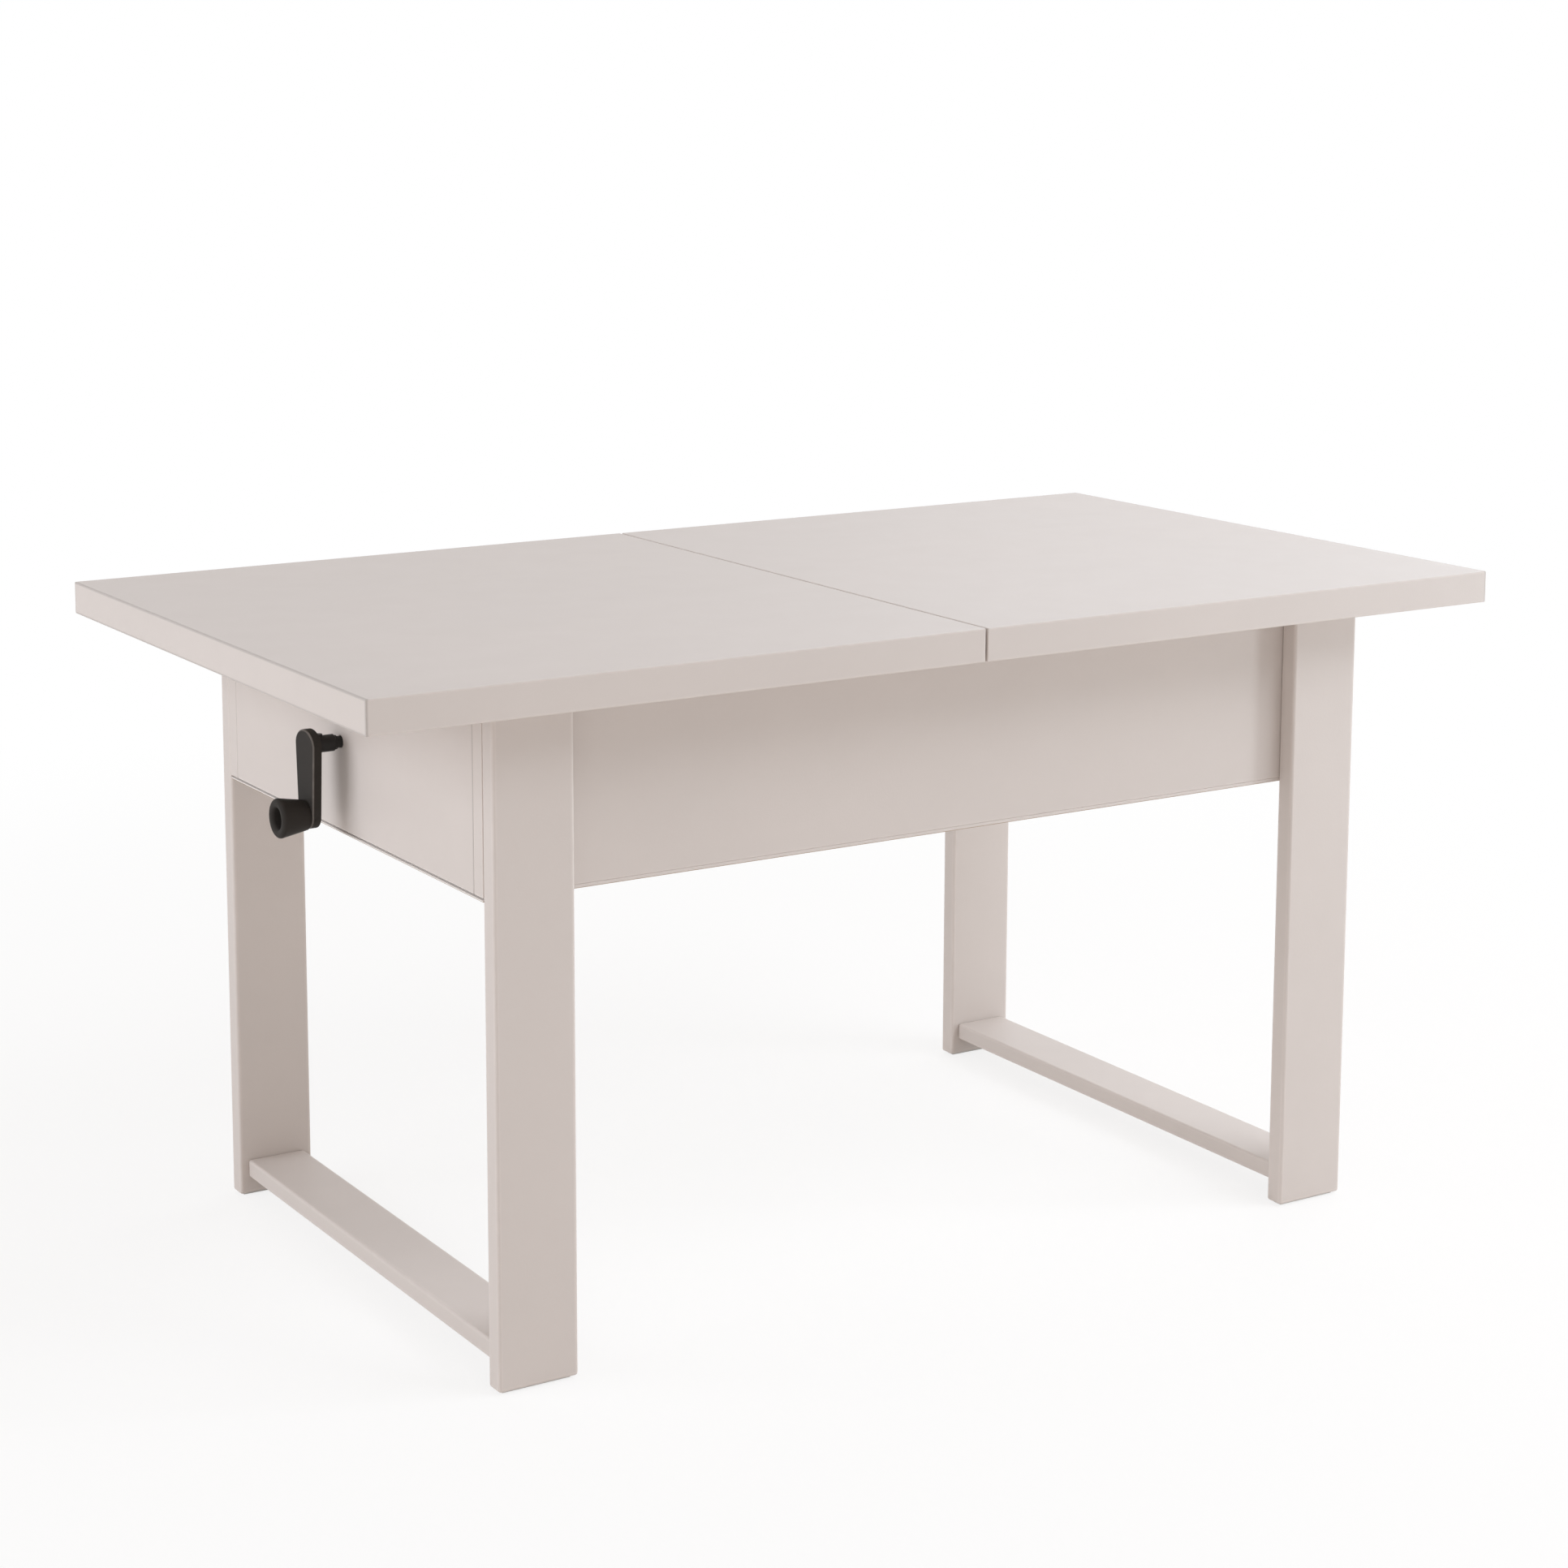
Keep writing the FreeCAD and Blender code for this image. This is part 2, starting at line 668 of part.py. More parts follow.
def gear_frame():
    """Welded frame on the end panel: flange, two cheeks round the sector, two walls for the worm."""
    shoulder = gear_shoulder_z
    foot = lower_pivot_z - gear_foot_drop
    wall_x = -box_inner_x
    half_flange = gear_flange_width / 2
    flange = slab((wall_x, wall_x + gear_plate), (crank_offset - half_flange, crank_offset + half_flange),
                  (shoulder, gear_top))
    outline = [V(wall_x, 0, shoulder), V(pivot_x - gear_foot_half, 0, foot),
               V(pivot_x + gear_foot_half, 0, foot), V(gear_end_x, 0, shoulder),
               V(gear_end_x, 0, gear_top), V(wall_x, 0, gear_top)]
    cheek_face = Part.Face(Part.makePolygon(outline + outline[:1]))
    half_gap = gear_cheek_gap / 2
    parts = [flange]
    for start in (crank_offset - half_gap - gear_plate, crank_offset + half_gap):
        cheek = cheek_face.extrude(V(0, gear_plate, 0))
        cheek.translate(V(0, start, 0))
        parts.append(cheek)
    for _, end in ends():
        face = pivot_x + end * gear_wall_reach
        parts.append(slab((face, face + end * gear_wall), (crank_offset - half_gap, crank_offset + half_gap),
                          (gear_top - gear_wall_height, gear_top)))
    across = (crank_offset - half_flange - overrun, crank_offset + half_flange + overrun)
    holes = [rod_y(torque_shaft_radius + glide_gap, across, pivot_x, lower_pivot_z)]
    for _, end in ends():
        face = pivot_x + end * gear_wall_reach
        reach = (face - end * overrun, face + end * (gear_wall + overrun))
        holes.append(rod_x(worm_bush_radius + fit_gap, reach, crank_offset, crank_z))
    through = (wall_x - overrun, wall_x + gear_plate + overrun)
    holes.append(rod_x(worm_bush_radius, through, crank_offset, crank_z))
    holes += [rod_x(channel_screw_radius + fit_gap, through, y, z) for y, z in gear_screw_places()]
    return cut_all(joined(parts), holes)


def gear_screw(y, z):
    face = -box_inner_x + gear_plate
    end = face + channel_screw_head_height
    head = rod_x(channel_screw_head_radius, (face, end), y, z)
    shank = rod_x(channel_screw_radius, (-box_inner_x - channel_screw_depth, end), y, z)
    return joined([head, shank])


def half_ellipse(half_width, rise, z, side):
    """Half an ellipse in the crank arm's plane, bulging up or down from the height z."""
    arc = Part.Arc(V(0, half_width, 0), V(0, 0, side * half_width), V(0, -half_width, 0)).toShape()
    flatten = FreeCAD.Matrix()
    flatten.scale(V(1, 1, rise / half_width))
    arc = arc.transformGeometry(flatten)
    arc.translate(V(crank_arm_outer_x, crank_offset, z))
    return arc


def crank_arm():
    """Flat tapered arm with flattened round ends and a softened outer edge."""
    x = crank_arm_outer_x
    wire = []
    wire.append(half_ellipse(crank_arm_top_half, crank_arm_top_rise, crank_z, 1))
    wire.append(Part.LineSegment(V(x, crank_offset - crank_arm_top_half, crank_z),
                                 V(x, crank_offset - crank_arm_low_half, knob_z)).toShape())
    wire.append(half_ellipse(crank_arm_low_half, crank_arm_low_drop, knob_z, -1))
    wire.append(Part.LineSegment(V(x, crank_offset + crank_arm_low_half, knob_z),
                                 V(x, crank_offset + crank_arm_top_half, crank_z)).toShape())
    plate = Part.Face(Part.Wire(Part.__sortEdges__(wire))).extrude(V(crank_arm_thickness, 0, 0))
    plate = rounded(plate, crank_arm_edge_radius, lambda edge: edge.BoundBox.XMax < crank_arm_outer_x + touch)
    rivet = (crank_arm_inner_x + overrun, crank_arm_inner_x - crank_rivet_depth)
    axle = (crank_arm_outer_x - overrun, crank_arm_outer_x + crank_rivet_depth)
    return cut_all(plate, [rod_x(crank_rivet_radius + fit_gap, rivet, crank_offset, crank_z),
                           rod_x(knob_axle_radius + fit_gap, axle, crank_offset, knob_z)])


def turned(outline, y, z):
    """Solid of revolution about an axis along X, from points given as X and radius."""
    points = [V(x, y, z + radius) for x, radius in outline]
    face = Part.Face(Part.makePolygon(points + points[:1]))
    return face.revolve(V(0, y, z), V(1, 0, 0), 360)


def crank_spindle():
    """Sleeve, step and collar of the crank, then the hexagon plug that enters the worm."""
    panel_x = -leg_outer_x
    sleeve_end = panel_x - crank_collar_show
    step_start = sleeve_end - crank_step_length
    body = turned([(crank_arm_inner_x - crank_rivet_depth, 0),
                   (crank_arm_inner_x - crank_rivet_depth, crank_rivet_radius),
                   (crank_arm_inner_x, crank_rivet_radius),
                   (crank_arm_inner_x, crank_sleeve_radius),
                   (step_start - crank_sleeve_edge, crank_sleeve_radius),
                   (step_start, crank_sleeve_radius - crank_sleeve_edge),
                   (step_start, crank_step_radius),
                   (sleeve_end, crank_step_radius),
                   (sleeve_end, crank_collar_radius),
                   (plug_start_x, crank_collar_radius),
                   (plug_start_x, 0)], crank_offset, crank_z)
    key = rod_z(crank_key_radius, (crank_z, crank_z + crank_sleeve_radius + crank_key_rise),
                crank_arm_inner_x + crank_key_inset, crank_offset)
    return body.fuse([key, hexagon(plug_flats / 2, (plug_start_x, plug_end_x))]).removeSplitter()


def knob_axle():
    """Shouldered pin that the knob turns on, its head inside the knob's recess."""
    floor = crank_arm_outer_x - knob_gap - knob_length + knob_recess_depth
    seat = floor - block_gap
    head = rod_x(knob_axle_head_radius, (seat, seat - knob_axle_head), crank_offset, knob_z)
    shank_reach = (crank_arm_outer_x + crank_rivet_depth, seat - knob_axle_head)
    shank = rod_x(knob_axle_radius, shank_reach, crank_offset, knob_z)
    return joined([shank, head])


def knob():
    """Tapered knob, wide at its outer end, with a rounded rim and a deep dished recess."""
    start = crank_arm_outer_x - knob_gap
    end = start - knob_length
    bore = knob_axle_radius + running_gap
    floor = end + knob_recess_depth
    outline = [(start, bore), (start, knob_neck_radius), (end, knob_end_radius),
               (end, knob_recess_radius), (floor, knob_recess_radius), (floor, bore)]
    body = turned(outline, crank_offset, knob_z)
    return rounded(body, knob_rim_radius,
                   lambda edge: edge.BoundBox.XMax < end + touch and edge.BoundBox.XLength < touch)


def slide_rail(side):
    """Steel C-rail open at the top, closed at both ends, welded on its channel."""
    ys = (side * rail_inner_y, side * frame_outer_y)
    body = slab((-frame_half - rail_end_wall, frame_half + rail_end_wall), ys, (rail_bottom, rail_top))
    hollow = slab((-frame_half, frame_half),
                  (side * (rail_inner_y + rail_wall), side * (frame_outer_y - rail_wall)),
                  (rail_bottom + rail_wall, rail_top - rail_wall))
    middle = side * (rail_inner_y + frame_outer_y) / 2
    slot = slab((-frame_half, frame_half), (middle - rail_slot / 2, middle + rail_slot / 2),
                (rail_top - rail_wall - overrun, rail_top + overrun))
    return body.cut([hollow, slot])


def tube(xs, ys, zs, axis):
    """Rectangular steel tube along the axis named x or y."""
    body = rounded(slab(xs, ys, zs), frame_bar_wall, lambda edge: runs_along(edge, axis))
    wall = frame_bar_wall
    inner_x = (min(xs) - overrun, max(xs) + overrun) if axis == "x" else (min(xs) + wall, max(xs) - wall)
    inner_y = (min(ys) - overrun, max(ys) + overrun) if axis == "y" else (min(ys) + wall, max(ys) - wall)
    return body.cut(slab(inner_x, inner_y, (min(zs) + wall, max(zs) - wall)))


def frame_bar(end):
    """Cross tube between the two lift channels."""
    half = frame_bar_width / 2
    return tube((end * frame_bar_x - half, end * frame_bar_x + half), (-frame_mouth_y, frame_mouth_y),
                (frame_bar_bottom, leaf_bottom), "y")


def leaf_bearer(side):
    """Tube along the table that carries the stowed leaf."""
    reach = frame_bar_x - frame_bar_width / 2
    middle = side * (leaf_width / 2 - bearer_inset)
    return tube((-reach, reach), (middle - bearer_width / 2, middle + bearer_width / 2),
                (frame_bar_bottom, leaf_bottom), "x")


def leaf():
    """Loose extension leaf, stowed with its long edge along the table."""
    board = slab((-leaf_length / 2, leaf_length / 2), (-leaf_width / 2, leaf_width / 2),
                 (leaf_bottom, leaf_bottom + top_thickness))
    return board.makeFillet(top_edge_radius, board.Edges)


def runner_reach():
    """Inner and outer end of a runner, measured from the seam."""
    return (runner_seam_inset, frame_half - slide_travel - runner_gap)


def runner_screw_places():
    near, far = runner_reach()
    return [near + share * (far - near) for share in runner_screw_shares]


def runner(end, side):
    """Slider with a foot in the rail, a stem through its slot and a plate under the top."""
    near, far = runner_reach()
    xs = (end * near, end * far)
    middle = (rail_inner_y + frame_outer_y) / 2
    foot_half = rail_width / 2 - rail_wall - runner_gap
    stem_half = rail_slot / 2 - runner_gap
    foot_top = rail_top - rail_wall - runner_gap
    plate_bottom = top_underside - runner_plate
    foot = slab(xs, (side * (middle - foot_half), side * (middle + foot_half)),
                (rail_bottom + rail_wall + runner_gap, foot_top))
    stem = slab(xs, (side * (middle - stem_half), side * (middle + stem_half)), (foot_top, plate_bottom))
    plate = slab(xs, (side * (frame_outer_y - runner_plate_width), side * frame_outer_y),
                 (plate_bottom, top_underside))
    through = (plate_bottom - overrun, top_underside + overrun)
    holes = [rod_z(runner_screw_radius + fit_gap, through, end * x, side * runner_screw_y)
             for x in runner_screw_places()]
    return cut_all(joined([foot, stem, plate]), holes)


def runner_screw(end, side, place):
    x, y = end * place, side * runner_screw_y
    seat = top_underside - runner_plate
    start = seat - runner_screw_head_height
    head = rod_z(runner_screw_head_radius, (start, seat), x, y)
    shank = rod_z(runner_screw_radius, (start, top_underside + runner_screw_depth), x, y)
    return joined([head, shank])


def seam_pin_places():
    return [share * top_width for share in seam_pin_shares]


def top_panel(end):
    """Half of the table top, drilled for its runner screws and the seam dowels."""
    board = slab((end * seam_gap / 2, end * top_length / 2), (-top_width / 2, top_width / 2),
                 (top_underside, table_height))
    board = board.makeFillet(top_edge_radius, board.Edges)
    screw = (top_underside - overrun, top_underside + runner_screw_depth)
    holes = [rod_z(runner_screw_radius + fit_gap, screw, end * x, side * runner_screw_y)
             for _, side in sides() for x in runner_screw_places()]
    gap = seam_pin_gap if end < 0 else fit_gap
    middle = top_underside + top_thickness / 2
    holes += [rod_x(seam_pin_radius + gap, (-end * overrun, end * (seam_pin_reach + overrun)), y, middle)
              for y in seam_pin_places()]
    return cut_all(board, holes)


def seam_pin(y):
    return rod_x(seam_pin_radius, (-seam_pin_reach, seam_pin_reach), y, top_underside + top_thickness / 2)


def build_nodes():
    """Every piece by its name."""
    nodes = {}
    for side_name, side in sides():
        for end_name, end in ends():
            nodes["leg_" + side_name + "_" + end_name] = leg(end, side)
            nodes["runner_" + end_name + "_" + side_name] = runner(end, side)
        nodes["side_panel_" + side_name] = side_panel(side)
        nodes["base_channel_" + side_name] = base_channel(side)
        nodes["drive_arm_" + side_name] = drive_arm(side)
        nodes["follower_arm_" + side_name] = follower_arm(side)
        nodes["lift_channel_" + side_name] = channel(side, frame_outer_y, upper_channel_bottom)
        nodes["slide_rail_" + side_name] = slide_rail(side)
        nodes["leaf_bearer_" + side_name] = leaf_bearer(side)
    for end_name, end in ends():
        nodes["stretcher_" + end_name] = stretcher(end)
        nodes["end_panel_" + end_name] = end_panel(end)
        nodes["frame_bar_" + end_name] = frame_bar(end)
        nodes["top_panel_" + end_name] = top_panel(end)
        nodes["runner_screws_" + end_name] = group([runner_screw(end, side, place) for _, side in sides()
                                                    for place in runner_screw_places()])
    signs = [side for _, side in sides()]
    nodes["bottom_sheet"] = bottom_sheet()
    nodes["foot_glides"] = group([foot_glide(end, side) for end, side in corners()])
    nodes["leg_bolts"] = group([leg_bolt(end, side, z) for end, side in corners() for z in bolt_heights()])
    nodes["leg_inserts"] = group([leg_insert(end, side, z)
                                  for end, side in corners() for z in bolt_heights()])
    nodes["stretcher_dowels"] = stretcher_dowel_group()
    nodes["panel_dowels"] = panel_dowel_group()
    nodes["corner_brackets"] = group([corner_bracket(end, side) for end, side in corners()])
    nodes["channel_screws"] = group([channel_screw(side, x)
                                     for side in signs for x in channel_screw_places()])
    nodes["base_pivot_blocks"] = group([pivot_block(side, panel_inner_y, lower_pivot_z, torque_shaft_radius)
                                        for side in signs])
    nodes["gear_frame"] = gear_frame()
    nodes["gear_frame_screws"] = group([gear_screw(y, z) for y, z in gear_screw_places()])
    nodes["worm_bushes"] = group([worm_bush(end) for _, end in ends()])
    nodes["torque_shaft"] = torque_shaft()
    nodes["sector_gear"] = sector_gear()
    nodes["centre_pins"] = group([centre_pin(side) for side in signs])
    nodes["upper_glides"] = group([arm_glide(side, inner_arm_y, frame_mouth_y, upper_pivot_z)
                                   for side in signs])
    nodes["lower_glides"] = group([arm_glide(side, outer_arm_y, base_mouth_y, lower_pivot_z)
                                   for side in signs])
    nodes["upper_pins"] = group([upper_pin(side) for side in signs])
    nodes["follower_spreader"] = follower_spreader()
    nodes["lift_pivot_blocks"] = group([pivot_block(side, frame_outer_y, upper_pivot_z, pin_radius)
                                        for side in signs])
    nodes["leaf"] = leaf()
    nodes["worm"] = worm()
    nodes["crank_arm"] = crank_arm()
    nodes["crank_spindle"] = crank_spindle()
    nodes["knob_axle"] = knob_axle()
    nodes["knob"] = knob()
    nodes["seam_pins"] = group([seam_pin(y) for y in seam_pin_places()])
    return nodes


def main():
    os.makedirs("parts", exist_ok=True)
    nodes = build_nodes()
    for name, shape in nodes.items():
        if not shape.isValid() or min(solid.Volume for solid in shape.Solids) <= 0:
            raise ValueError("bad solid: " + name)
        shape.exportStep("parts/" + name + ".step")
    print(len(nodes), "nodes written")


main()
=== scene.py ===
"""Looks of a convertible coffee table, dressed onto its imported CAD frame."""
import json
import math

import bmesh
import bpy
from mathutils import Matrix, Vector

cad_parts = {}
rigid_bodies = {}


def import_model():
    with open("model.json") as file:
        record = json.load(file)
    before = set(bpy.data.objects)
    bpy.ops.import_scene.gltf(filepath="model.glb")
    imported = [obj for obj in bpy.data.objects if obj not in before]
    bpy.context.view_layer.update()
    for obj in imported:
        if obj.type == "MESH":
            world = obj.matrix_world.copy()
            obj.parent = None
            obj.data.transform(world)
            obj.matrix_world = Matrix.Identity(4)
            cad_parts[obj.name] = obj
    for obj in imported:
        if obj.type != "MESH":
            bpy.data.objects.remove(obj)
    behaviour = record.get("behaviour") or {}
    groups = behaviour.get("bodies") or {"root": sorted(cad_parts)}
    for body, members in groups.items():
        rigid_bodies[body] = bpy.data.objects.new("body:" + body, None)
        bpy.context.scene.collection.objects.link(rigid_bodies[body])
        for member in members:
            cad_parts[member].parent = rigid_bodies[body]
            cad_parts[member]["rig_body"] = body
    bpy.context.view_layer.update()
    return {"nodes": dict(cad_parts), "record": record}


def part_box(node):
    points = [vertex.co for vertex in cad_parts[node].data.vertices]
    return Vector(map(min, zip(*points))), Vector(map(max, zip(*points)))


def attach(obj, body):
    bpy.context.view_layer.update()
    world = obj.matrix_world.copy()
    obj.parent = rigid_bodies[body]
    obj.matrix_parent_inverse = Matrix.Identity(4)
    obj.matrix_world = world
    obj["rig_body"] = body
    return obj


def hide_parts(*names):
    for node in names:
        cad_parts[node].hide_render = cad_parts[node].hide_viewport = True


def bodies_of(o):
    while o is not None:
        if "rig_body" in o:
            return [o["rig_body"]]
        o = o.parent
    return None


bl_info = {
    "name": "Convertible Coffee Table",
    "version": (1, 0, 0),
    "blender": (4, 5, 0),
    "location": "3D View > Sidebar > Table",
    "description": "Dresses the packed frame of a lift-top table with boards, crank, fastenings and stage",
    "category": "Object",
}

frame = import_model()

SIDES = ("front", "rear")
ENDS = ("left", "right")
CRANK_BODIES = ("crank", "knob")
X, Y, Z = range(3)
MILLIMETRE = 0.001
# Places nearer than this count as the same.
TOUCH = 0.001 * MILLIMETRE
# A vertex within this share of an edge's radius lies on the rounding.
ROUNDING_SHARE = 1.01

# Sizes inside the CAD nodes, which the nodes' boxes don't give.
CRANK_HOLE_RADIUS = 5.4 * MILLIMETRE
PIN_ROOM = 0.3 * MILLIMETRE
BRACKET_WALL = 3.0 * MILLIMETRE
GEAR_PLATE = 4.0 * MILLIMETRE
GEAR_CHEEK_GAP = 24.0 * MILLIMETRE


def number_value(name, description, default, **options):
    return bpy.props.FloatProperty(name=name, description=description, default=default, **options)


def length_value(name, description, millimetres):
    """Length, given in millimetres and kept in metres."""
    return number_value(name, description, millimetres * MILLIMETRE, min=0, unit="LENGTH", precision=5)


def share_value(name, description, default):
    return number_value(name, description, default, min=0, max=1, subtype="FACTOR")


def count_value(name, description, default):
    return bpy.props.IntProperty(name=name, description=description, default=default, min=2)


def colour_value(name, description, default):
    return bpy.props.FloatVectorProperty(name=name, description=description, default=default, size=3,
                                         min=0, max=1, subtype="COLOR")


class BoardSettings(bpy.types.PropertyGroup):
    lacquer: colour_value("Lacquer", "Warm greige of the sprayed boards", (0.648, 0.583, 0.543))
    sheet: colour_value("Sheet", "Pale face of the thin bottom sheet", (0.84, 0.815, 0.795))
    # Brown of the thin line along the sheet's lower rounding: the tone of bare hardboard, used as painted
    # shade under the sheet's edge.
    sheet_raw_and_shade: colour_value("Sheet edge line", "Raw brown along the lower edge of the bottom sheet",
                            (0.34, 0.225, 0.135))
    top_edge: length_value("Top edge", "Radius along the edges of the top", 1.0)
    leg_edge: length_value("Leg edge", "Radius along the edges of the legs", 2.5)
    stretcher_edge: length_value("Stretcher edge", "Radius along the edges of the stretchers", 2.0)
    panel_edge: length_value("Panel edge", "Radius along the edges of the box panels", 0.7)
    sheet_edge: length_value("Sheet edge", "Radius along the edges of the bottom sheet", 0.5)
    sheet_rebate: length_value("Sheet rebate", "Height of the shadow line under the end panels", 1.4)
    sheet_setback: length_value("Sheet setback", "Depth of the shadow line under the end panels", 3.5)
    sheet_joint: length_value("Sheet joint", "Depth of the fine joint along the sheet's long edges", 0.1)
    edge_margin: length_value("Edge margin", "Width beside an edge over which its wear fades out", 3.0)
    edge_steps: count_value("Edge steps", "Faces across a rounded edge", 4)
    gloss: share_value("Roughness", "Roughness of the satin lacquer", 0.49)
    # Paler lacquer edges: rubbed in spots, and a painted highlight along the roundings.
    edge_wear_and_highlight: share_value("Wear", "Strength of the rubbed look along the edges", 0.35)
    band: share_value("Edge band", "Strength of the fine darker line at the ends of top and end panels", 0.55)


class CrankSettings(bpy.types.PropertyGroup):
    plastic: colour_value("Plastic", "Satin black of the crank and its knob", (0.041, 0.0365, 0.033))
    steel: colour_value("Spindle", "Blackened steel of the spindle", (0.02, 0.0185, 0.0175))
    roughness: share_value("Roughness", "Roughness of the satin plastic", 0.46)
    arm_edge: length_value("Arm edge", "Radius round the crank arm's outer face", 1.5)
    arm_back_edge: length_value("Arm back edge", "Radius round the crank arm's inner face", 0.8)
    arm_steps: count_value("Arm edge steps", "Faces across a rounded edge of the arm", 4)
    arm_taper: share_value("Arm taper", "Width at the knob as a share of that at the spindle", 0.806)


class LiftSettings(bpy.types.PropertyGroup):
    powder: colour_value("Powder coat", "Dark grey coat of channels, rails and tubes", (0.05, 0.05, 0.053))
    arm_powder: colour_value("Arm coat", "Black coat of the scissor arms", (0.03, 0.03, 0.031))
    bead_radius: length_value("Weld bead", "Half the width of a weld bead", 1.6)
    bead_step: length_value("Weld step", "Distance between the ripples of a weld", 1.5)
    stitch: length_value("Weld stitch", "Length of one stitch weld along the rails", 24.0)
    stitch_count: count_value("Stitches", "Stitch welds along each rail", 6)


class FastenerSettings(bpy.types.PropertyGroup):
    head_height: length_value("Screw head", "Height of a pan-head screw's head", 2.0)
    shank: length_value("Screw shank", "Radius of a screw's shank", 2.0)
    slot_width: length_value("Recess width", "Width of the cross recess in a screw head", 1.0)
    slot_depth: length_value("Recess depth", "Depth of the cross recess in a screw head", 1.2)
    bolt_height: length_value("Bolt head", "Height of a leg bolt's flat head", 3.0)
    bolt_shank: length_value("Bolt shank", "Radius of a leg bolt", 3.0)
    bolt_socket: length_value("Bolt socket", "Depth of the hexagon socket in a leg bolt", 1.8)
    sheet_head: length_value("Sheet screw head", "Radius of the heads under the bottom sheet", 3.2)
    sheet_proud: length_value("Sheet screw height", "How far those heads stand out", 1.2)
    sheet_length: length_value("Sheet screw length", "How far those screws go in", 10.0)
    sheet_step: length_value("Sheet screw spacing", "Longest distance between those screws", 130.0)
    bracket_length: length_value("Bracket screw length", "How far the corner brackets' screws go in", 12.0)


class StageSettings(bpy.types.PropertyGroup):
    lens: number_value("Lens", "Focal length in millimetres", 73.424)
    place: bpy.props.FloatVectorProperty(name="Camera", description="Place of the camera", size=3,
                                         default=(-1.5011, -2.3582, 1.0321), subtype="TRANSLATION")
    pitch: number_value("Pitch", "Tilt below the horizon", math.radians(8.8949), subtype="ANGLE")
    yaw: number_value("Yaw", "Turn right of the table's depth", math.radians(31.2565), subtype="ANGLE")
    shift: bpy.props.FloatVectorProperty(name="Shift", description="Lens shift in shares of the frame",
                                         size=2, default=(0.04067, -0.15))
    ambient: number_value("Ambient", "Strength of the light from all round", 0.43, min=0)
    ambient_colour: colour_value("Ambient colour", "Colour of the light from all round", (1.0, 0.92, 0.87))
    floor_colour: colour_value("Floor colour", "Pale colour that keeps the shadow", (0.95, 0.915, 0.885))
    floor_radius: length_value("Floor", "Radius of the floor", 9000.0)


class Value:
    """A socket of a node tree; sums and products of values add Math nodes to the tree."""

    def __init__(self, graph, socket):
        self.graph = graph
        self.socket = socket

    def maths(self, operation, first, second):
        return self.graph.node("ShaderNodeMath", {0: first, 1: second}, operation=operation)

    def __add__(self, other):
        return self.maths("ADD", self, other)

    def __sub__(self, other):
        return self.maths("SUBTRACT", self, other)

    def __rsub__(self, other):
        return self.maths("SUBTRACT", other, self)

    def __mul__(self, other):
        return self.maths("MULTIPLY", self, other)

    __radd__ = __add__
    __rmul__ = __mul__


class Graph:
    """Node tree of a material, the world or a geometry tree."""

    def __init__(self, tree):
        self.tree = tree
        self.tree.nodes.clear()

    def node(self, kind, inputs=None, output=0, **settings):
        """New node with its settings, then its sockets' values or links; gives one output as a Value.

        A list of Values is linked to a socket that takes several.
        """
        made = self.tree.nodes.new(kind)
        for key, value in settings.items():
            setattr(made, key, value)
        for key, value in (inputs or {}).items():
            links = value if isinstance(value, list) else [value]
            for link in links:
                if isinstance(link, Value):
                    self.tree.links.new(link.socket, made.inputs[key])
                else:
                    made.inputs[key].default_value = link
        return Value(self, made.outputs[output]) if made.outputs else made


class Finish(Graph):
    """Material whose pattern is fixed to the piece."""

    # Numbers of a Mix node's sockets for colours: the share, the two colours and the result.
    MIX_INPUTS = (0, 6, 7)
    MIX_OUTPUT = 2

    def __init__(self, name):
        self.material = bpy.data.materials.new(name)
        self.material.use_nodes = True
        super().__init__(self.material.node_tree)
        self.spot = self.node("ShaderNodeTexCoord", output="Object")

    def noise(self, scale, detail=2.0, roughness=0.5, spot=None):
        inputs = {"Vector": spot or self.spot, "Scale": scale, "Detail": detail, "Roughness": roughness}
        return self.node("ShaderNodeTexNoise", inputs)

    def grain(self, scales, detail, roughness=0.5):
        """Noise drawn out along the piece: scales gives its fineness along each axis."""
        spot = self.node("ShaderNodeMapping", {"Vector": self.spot, "Scale": scales})
        return self.noise(1.0, detail, roughness, spot)

    def attribute(self, name):
        return self.node("ShaderNodeAttribute", output="Fac", attribute_name=name)

    def between(self, value, low, high):
        """Smooth step from 0 at low to 1 at high."""
        inputs = {"Value": value, "From Min": low, "From Max": high}
        return self.node("ShaderNodeMapRange", inputs, interpolation_type="SMOOTHSTEP")

    def marked(self, name):
        """1 where an attribute of the mesh is near 1, fading out beside that."""
        return self.between(self.attribute(name), low=0.4, high=0.95)

    def patchy(self, spots, least, low, high):
        """Strength from least, where spots is under low, to 1 where it is over high."""
        return least + (1 - least) * self.between(spots, low, high)

    def mixed(self, share, first, second):
        """Colour between two colours; share 0 gives the first."""
        colours = [colour if isinstance(colour, Value) else (*colour, 1) for colour in (first, second)]
        inputs = dict(zip(self.MIX_INPUTS, (share, *colours)))
        return self.node("ShaderNodeMix", inputs, self.MIX_OUTPUT, data_type="RGBA")

    def clouded(self, cloud, colour, dark, pale):
        """Colour between a darker and a paler tone of itself."""
        return self.mixed(cloud, tinted(colour, dark), tinted(colour, pale))

    def toned(self, base, where, colour, tone, share):
        """Base drawn towards a tone of a colour, by a share at most."""
        return self.mixed(where * share, base, tinted(colour, tone))

    def bumped(self, height, strength, distance):
        inputs = {"Height": height, "Strength": strength, "Distance": distance}
        return self.node("ShaderNodeBump", inputs)

    def done(self, **sockets):
        """Surface shader from its sockets, named with underscores for spaces."""
        inputs = {key.replace("_", " "): value for key, value in sockets.items()}
        shader = self.node("ShaderNodeBsdfPrincipled", inputs)
        self.node("ShaderNodeOutputMaterial", {"Surface": shader})
        return self.material


